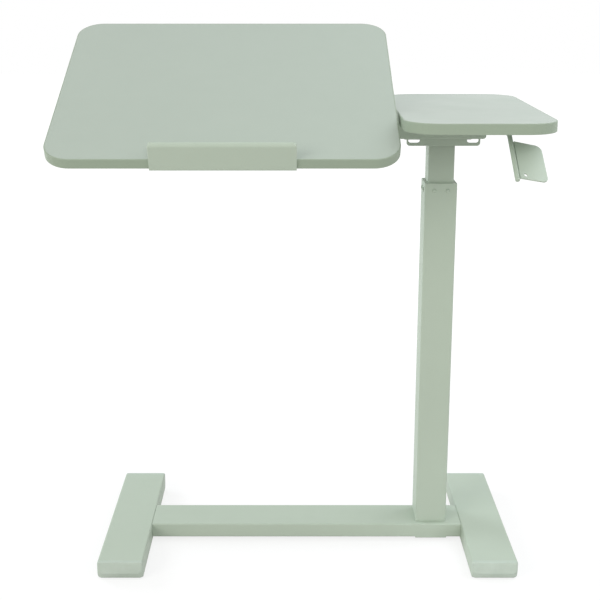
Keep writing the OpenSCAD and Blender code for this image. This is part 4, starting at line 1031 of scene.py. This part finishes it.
AMBIENT = 0.54
FLOOR_HALF = 9.0
FLOOR_THROWS, FLOOR_SHOWS = (0.61, 0.6, 0.57, 1), (0.24, 0.24, 0.24, 1)
FLOOR_NEAR, FLOOR_FAR = (0.6, 0.78), (2.0, 0.93)  # distance from the table, own brightness there
COOL, WARM, NEUTRAL = (0.95, 1.0, 1.09), (1.02, 1.0, 0.95), (1.0, 1.0, 1.0)

scene.view_settings.view_transform = "Standard"


def seen_white(tree):
    """1 for what the camera, a mirror or glass sees, and 0 for light that falls on the object."""
    path = tree.nodes.new("ShaderNodeLightPath").outputs
    first = maths(tree, "MAXIMUM", path["Is Camera Ray"], path["Is Glossy Ray"])
    return maths(tree, "MAXIMUM", first, path["Is Transmission Ray"])


world = bpy.data.worlds.new("studio")
scene.world = world
world.use_nodes = True
tree = world.node_tree
backdrop = tree.nodes["Background"]
backdrop.inputs["Color"].default_value = (1, 1, 1, 1)
tree.links.new(ramp(tree, seen_white(tree), 0, 1, AMBIENT, 1.0), backdrop.inputs["Strength"])

floor_mesh = bpy.data.meshes.new("Floor")
floor_mesh.from_pydata([(a * FLOOR_HALF, b * FLOOR_HALF, 0) for a, b in ((-1, -1), (1, -1), (1, 1), (-1, 1))],
                       [], [(0, 1, 2, 3)])
floor = new_object("Floor", floor_mesh)
floor_finish = bpy.data.materials.new("pale_floor")
floor_finish.use_nodes = True
tree = floor_finish.node_tree
tree.nodes.remove(tree.nodes["Principled BSDF"])
seen = seen_white(tree)
spot = add(tree, "TexCoord").outputs["Object"]
away = add(tree, "VectorMath", {0: spot}, operation="LENGTH").outputs["Value"]
glow = ramp(tree, away, FLOOR_NEAR[0], FLOOR_FAR[0], FLOOR_NEAR[1], FLOOR_FAR[1])
pale = add(tree, "BsdfDiffuse", {"Color": mixed(tree, seen, FLOOR_THROWS, FLOOR_SHOWS)})
shown = maths(tree, "MULTIPLY", seen, glow)
white = add(tree, "Emission", {"Color": (1, 1, 1, 1), "Strength": shown})
both = add(tree, "AddShader", {0: pale.outputs[0], 1: white.outputs[0]})
tree.links.new(both.outputs[0], tree.nodes["Material Output"].inputs["Surface"])
floor_mesh.materials.append(floor_finish)


def softbox(name, location, target, size, power, tint, beam=180, sheen=True):
    """Square lamp facing a point, its beam given in degrees; without sheen it shows in no reflection."""
    lamp = bpy.data.lights.new(name, "AREA")
    lamp.shape, lamp.size, lamp.energy, lamp.color = "SQUARE", size, power, tint
    lamp.spread = math.radians(beam)
    holder = new_object(name, lamp)
    holder.location = location
    holder.visible_glossy = sheen
    aim = np.subtract(target, location)
    flat = math.hypot(aim[0], aim[1])
    holder.rotation_euler = (math.atan2(flat, -aim[2]), 0, math.atan2(-aim[0], aim[1]))


softbox("front_high", (0.45, -2.7, 1.8), (0.1, 0, 0.4), 1.0, 13, NEUTRAL, sheen=False)
softbox("left_front", (-2.4, -2.4, 1.8), (0, 0, 0.4), 1.8, 39.5, WARM, sheen=False)
softbox("left_back", (-2.6, 1.6, 1.4), (0.1, 0, 0.4), 1.6, 46, COOL, sheen=False)
softbox("right_near", (1.7, -1.1, 1.7), (0.3, 0, 0.4), 1.4, 6.5, NEUTRAL)
softbox("right_top", (1.5, 0.3, 2.1), (0.3, 0, 0.3), 1.4, 15.5, COOL)
softbox("right_foot", (0.62, -0.95, 0.12), (0.34, -0.2, 0), 0.3, 0.03, COOL, beam=24)
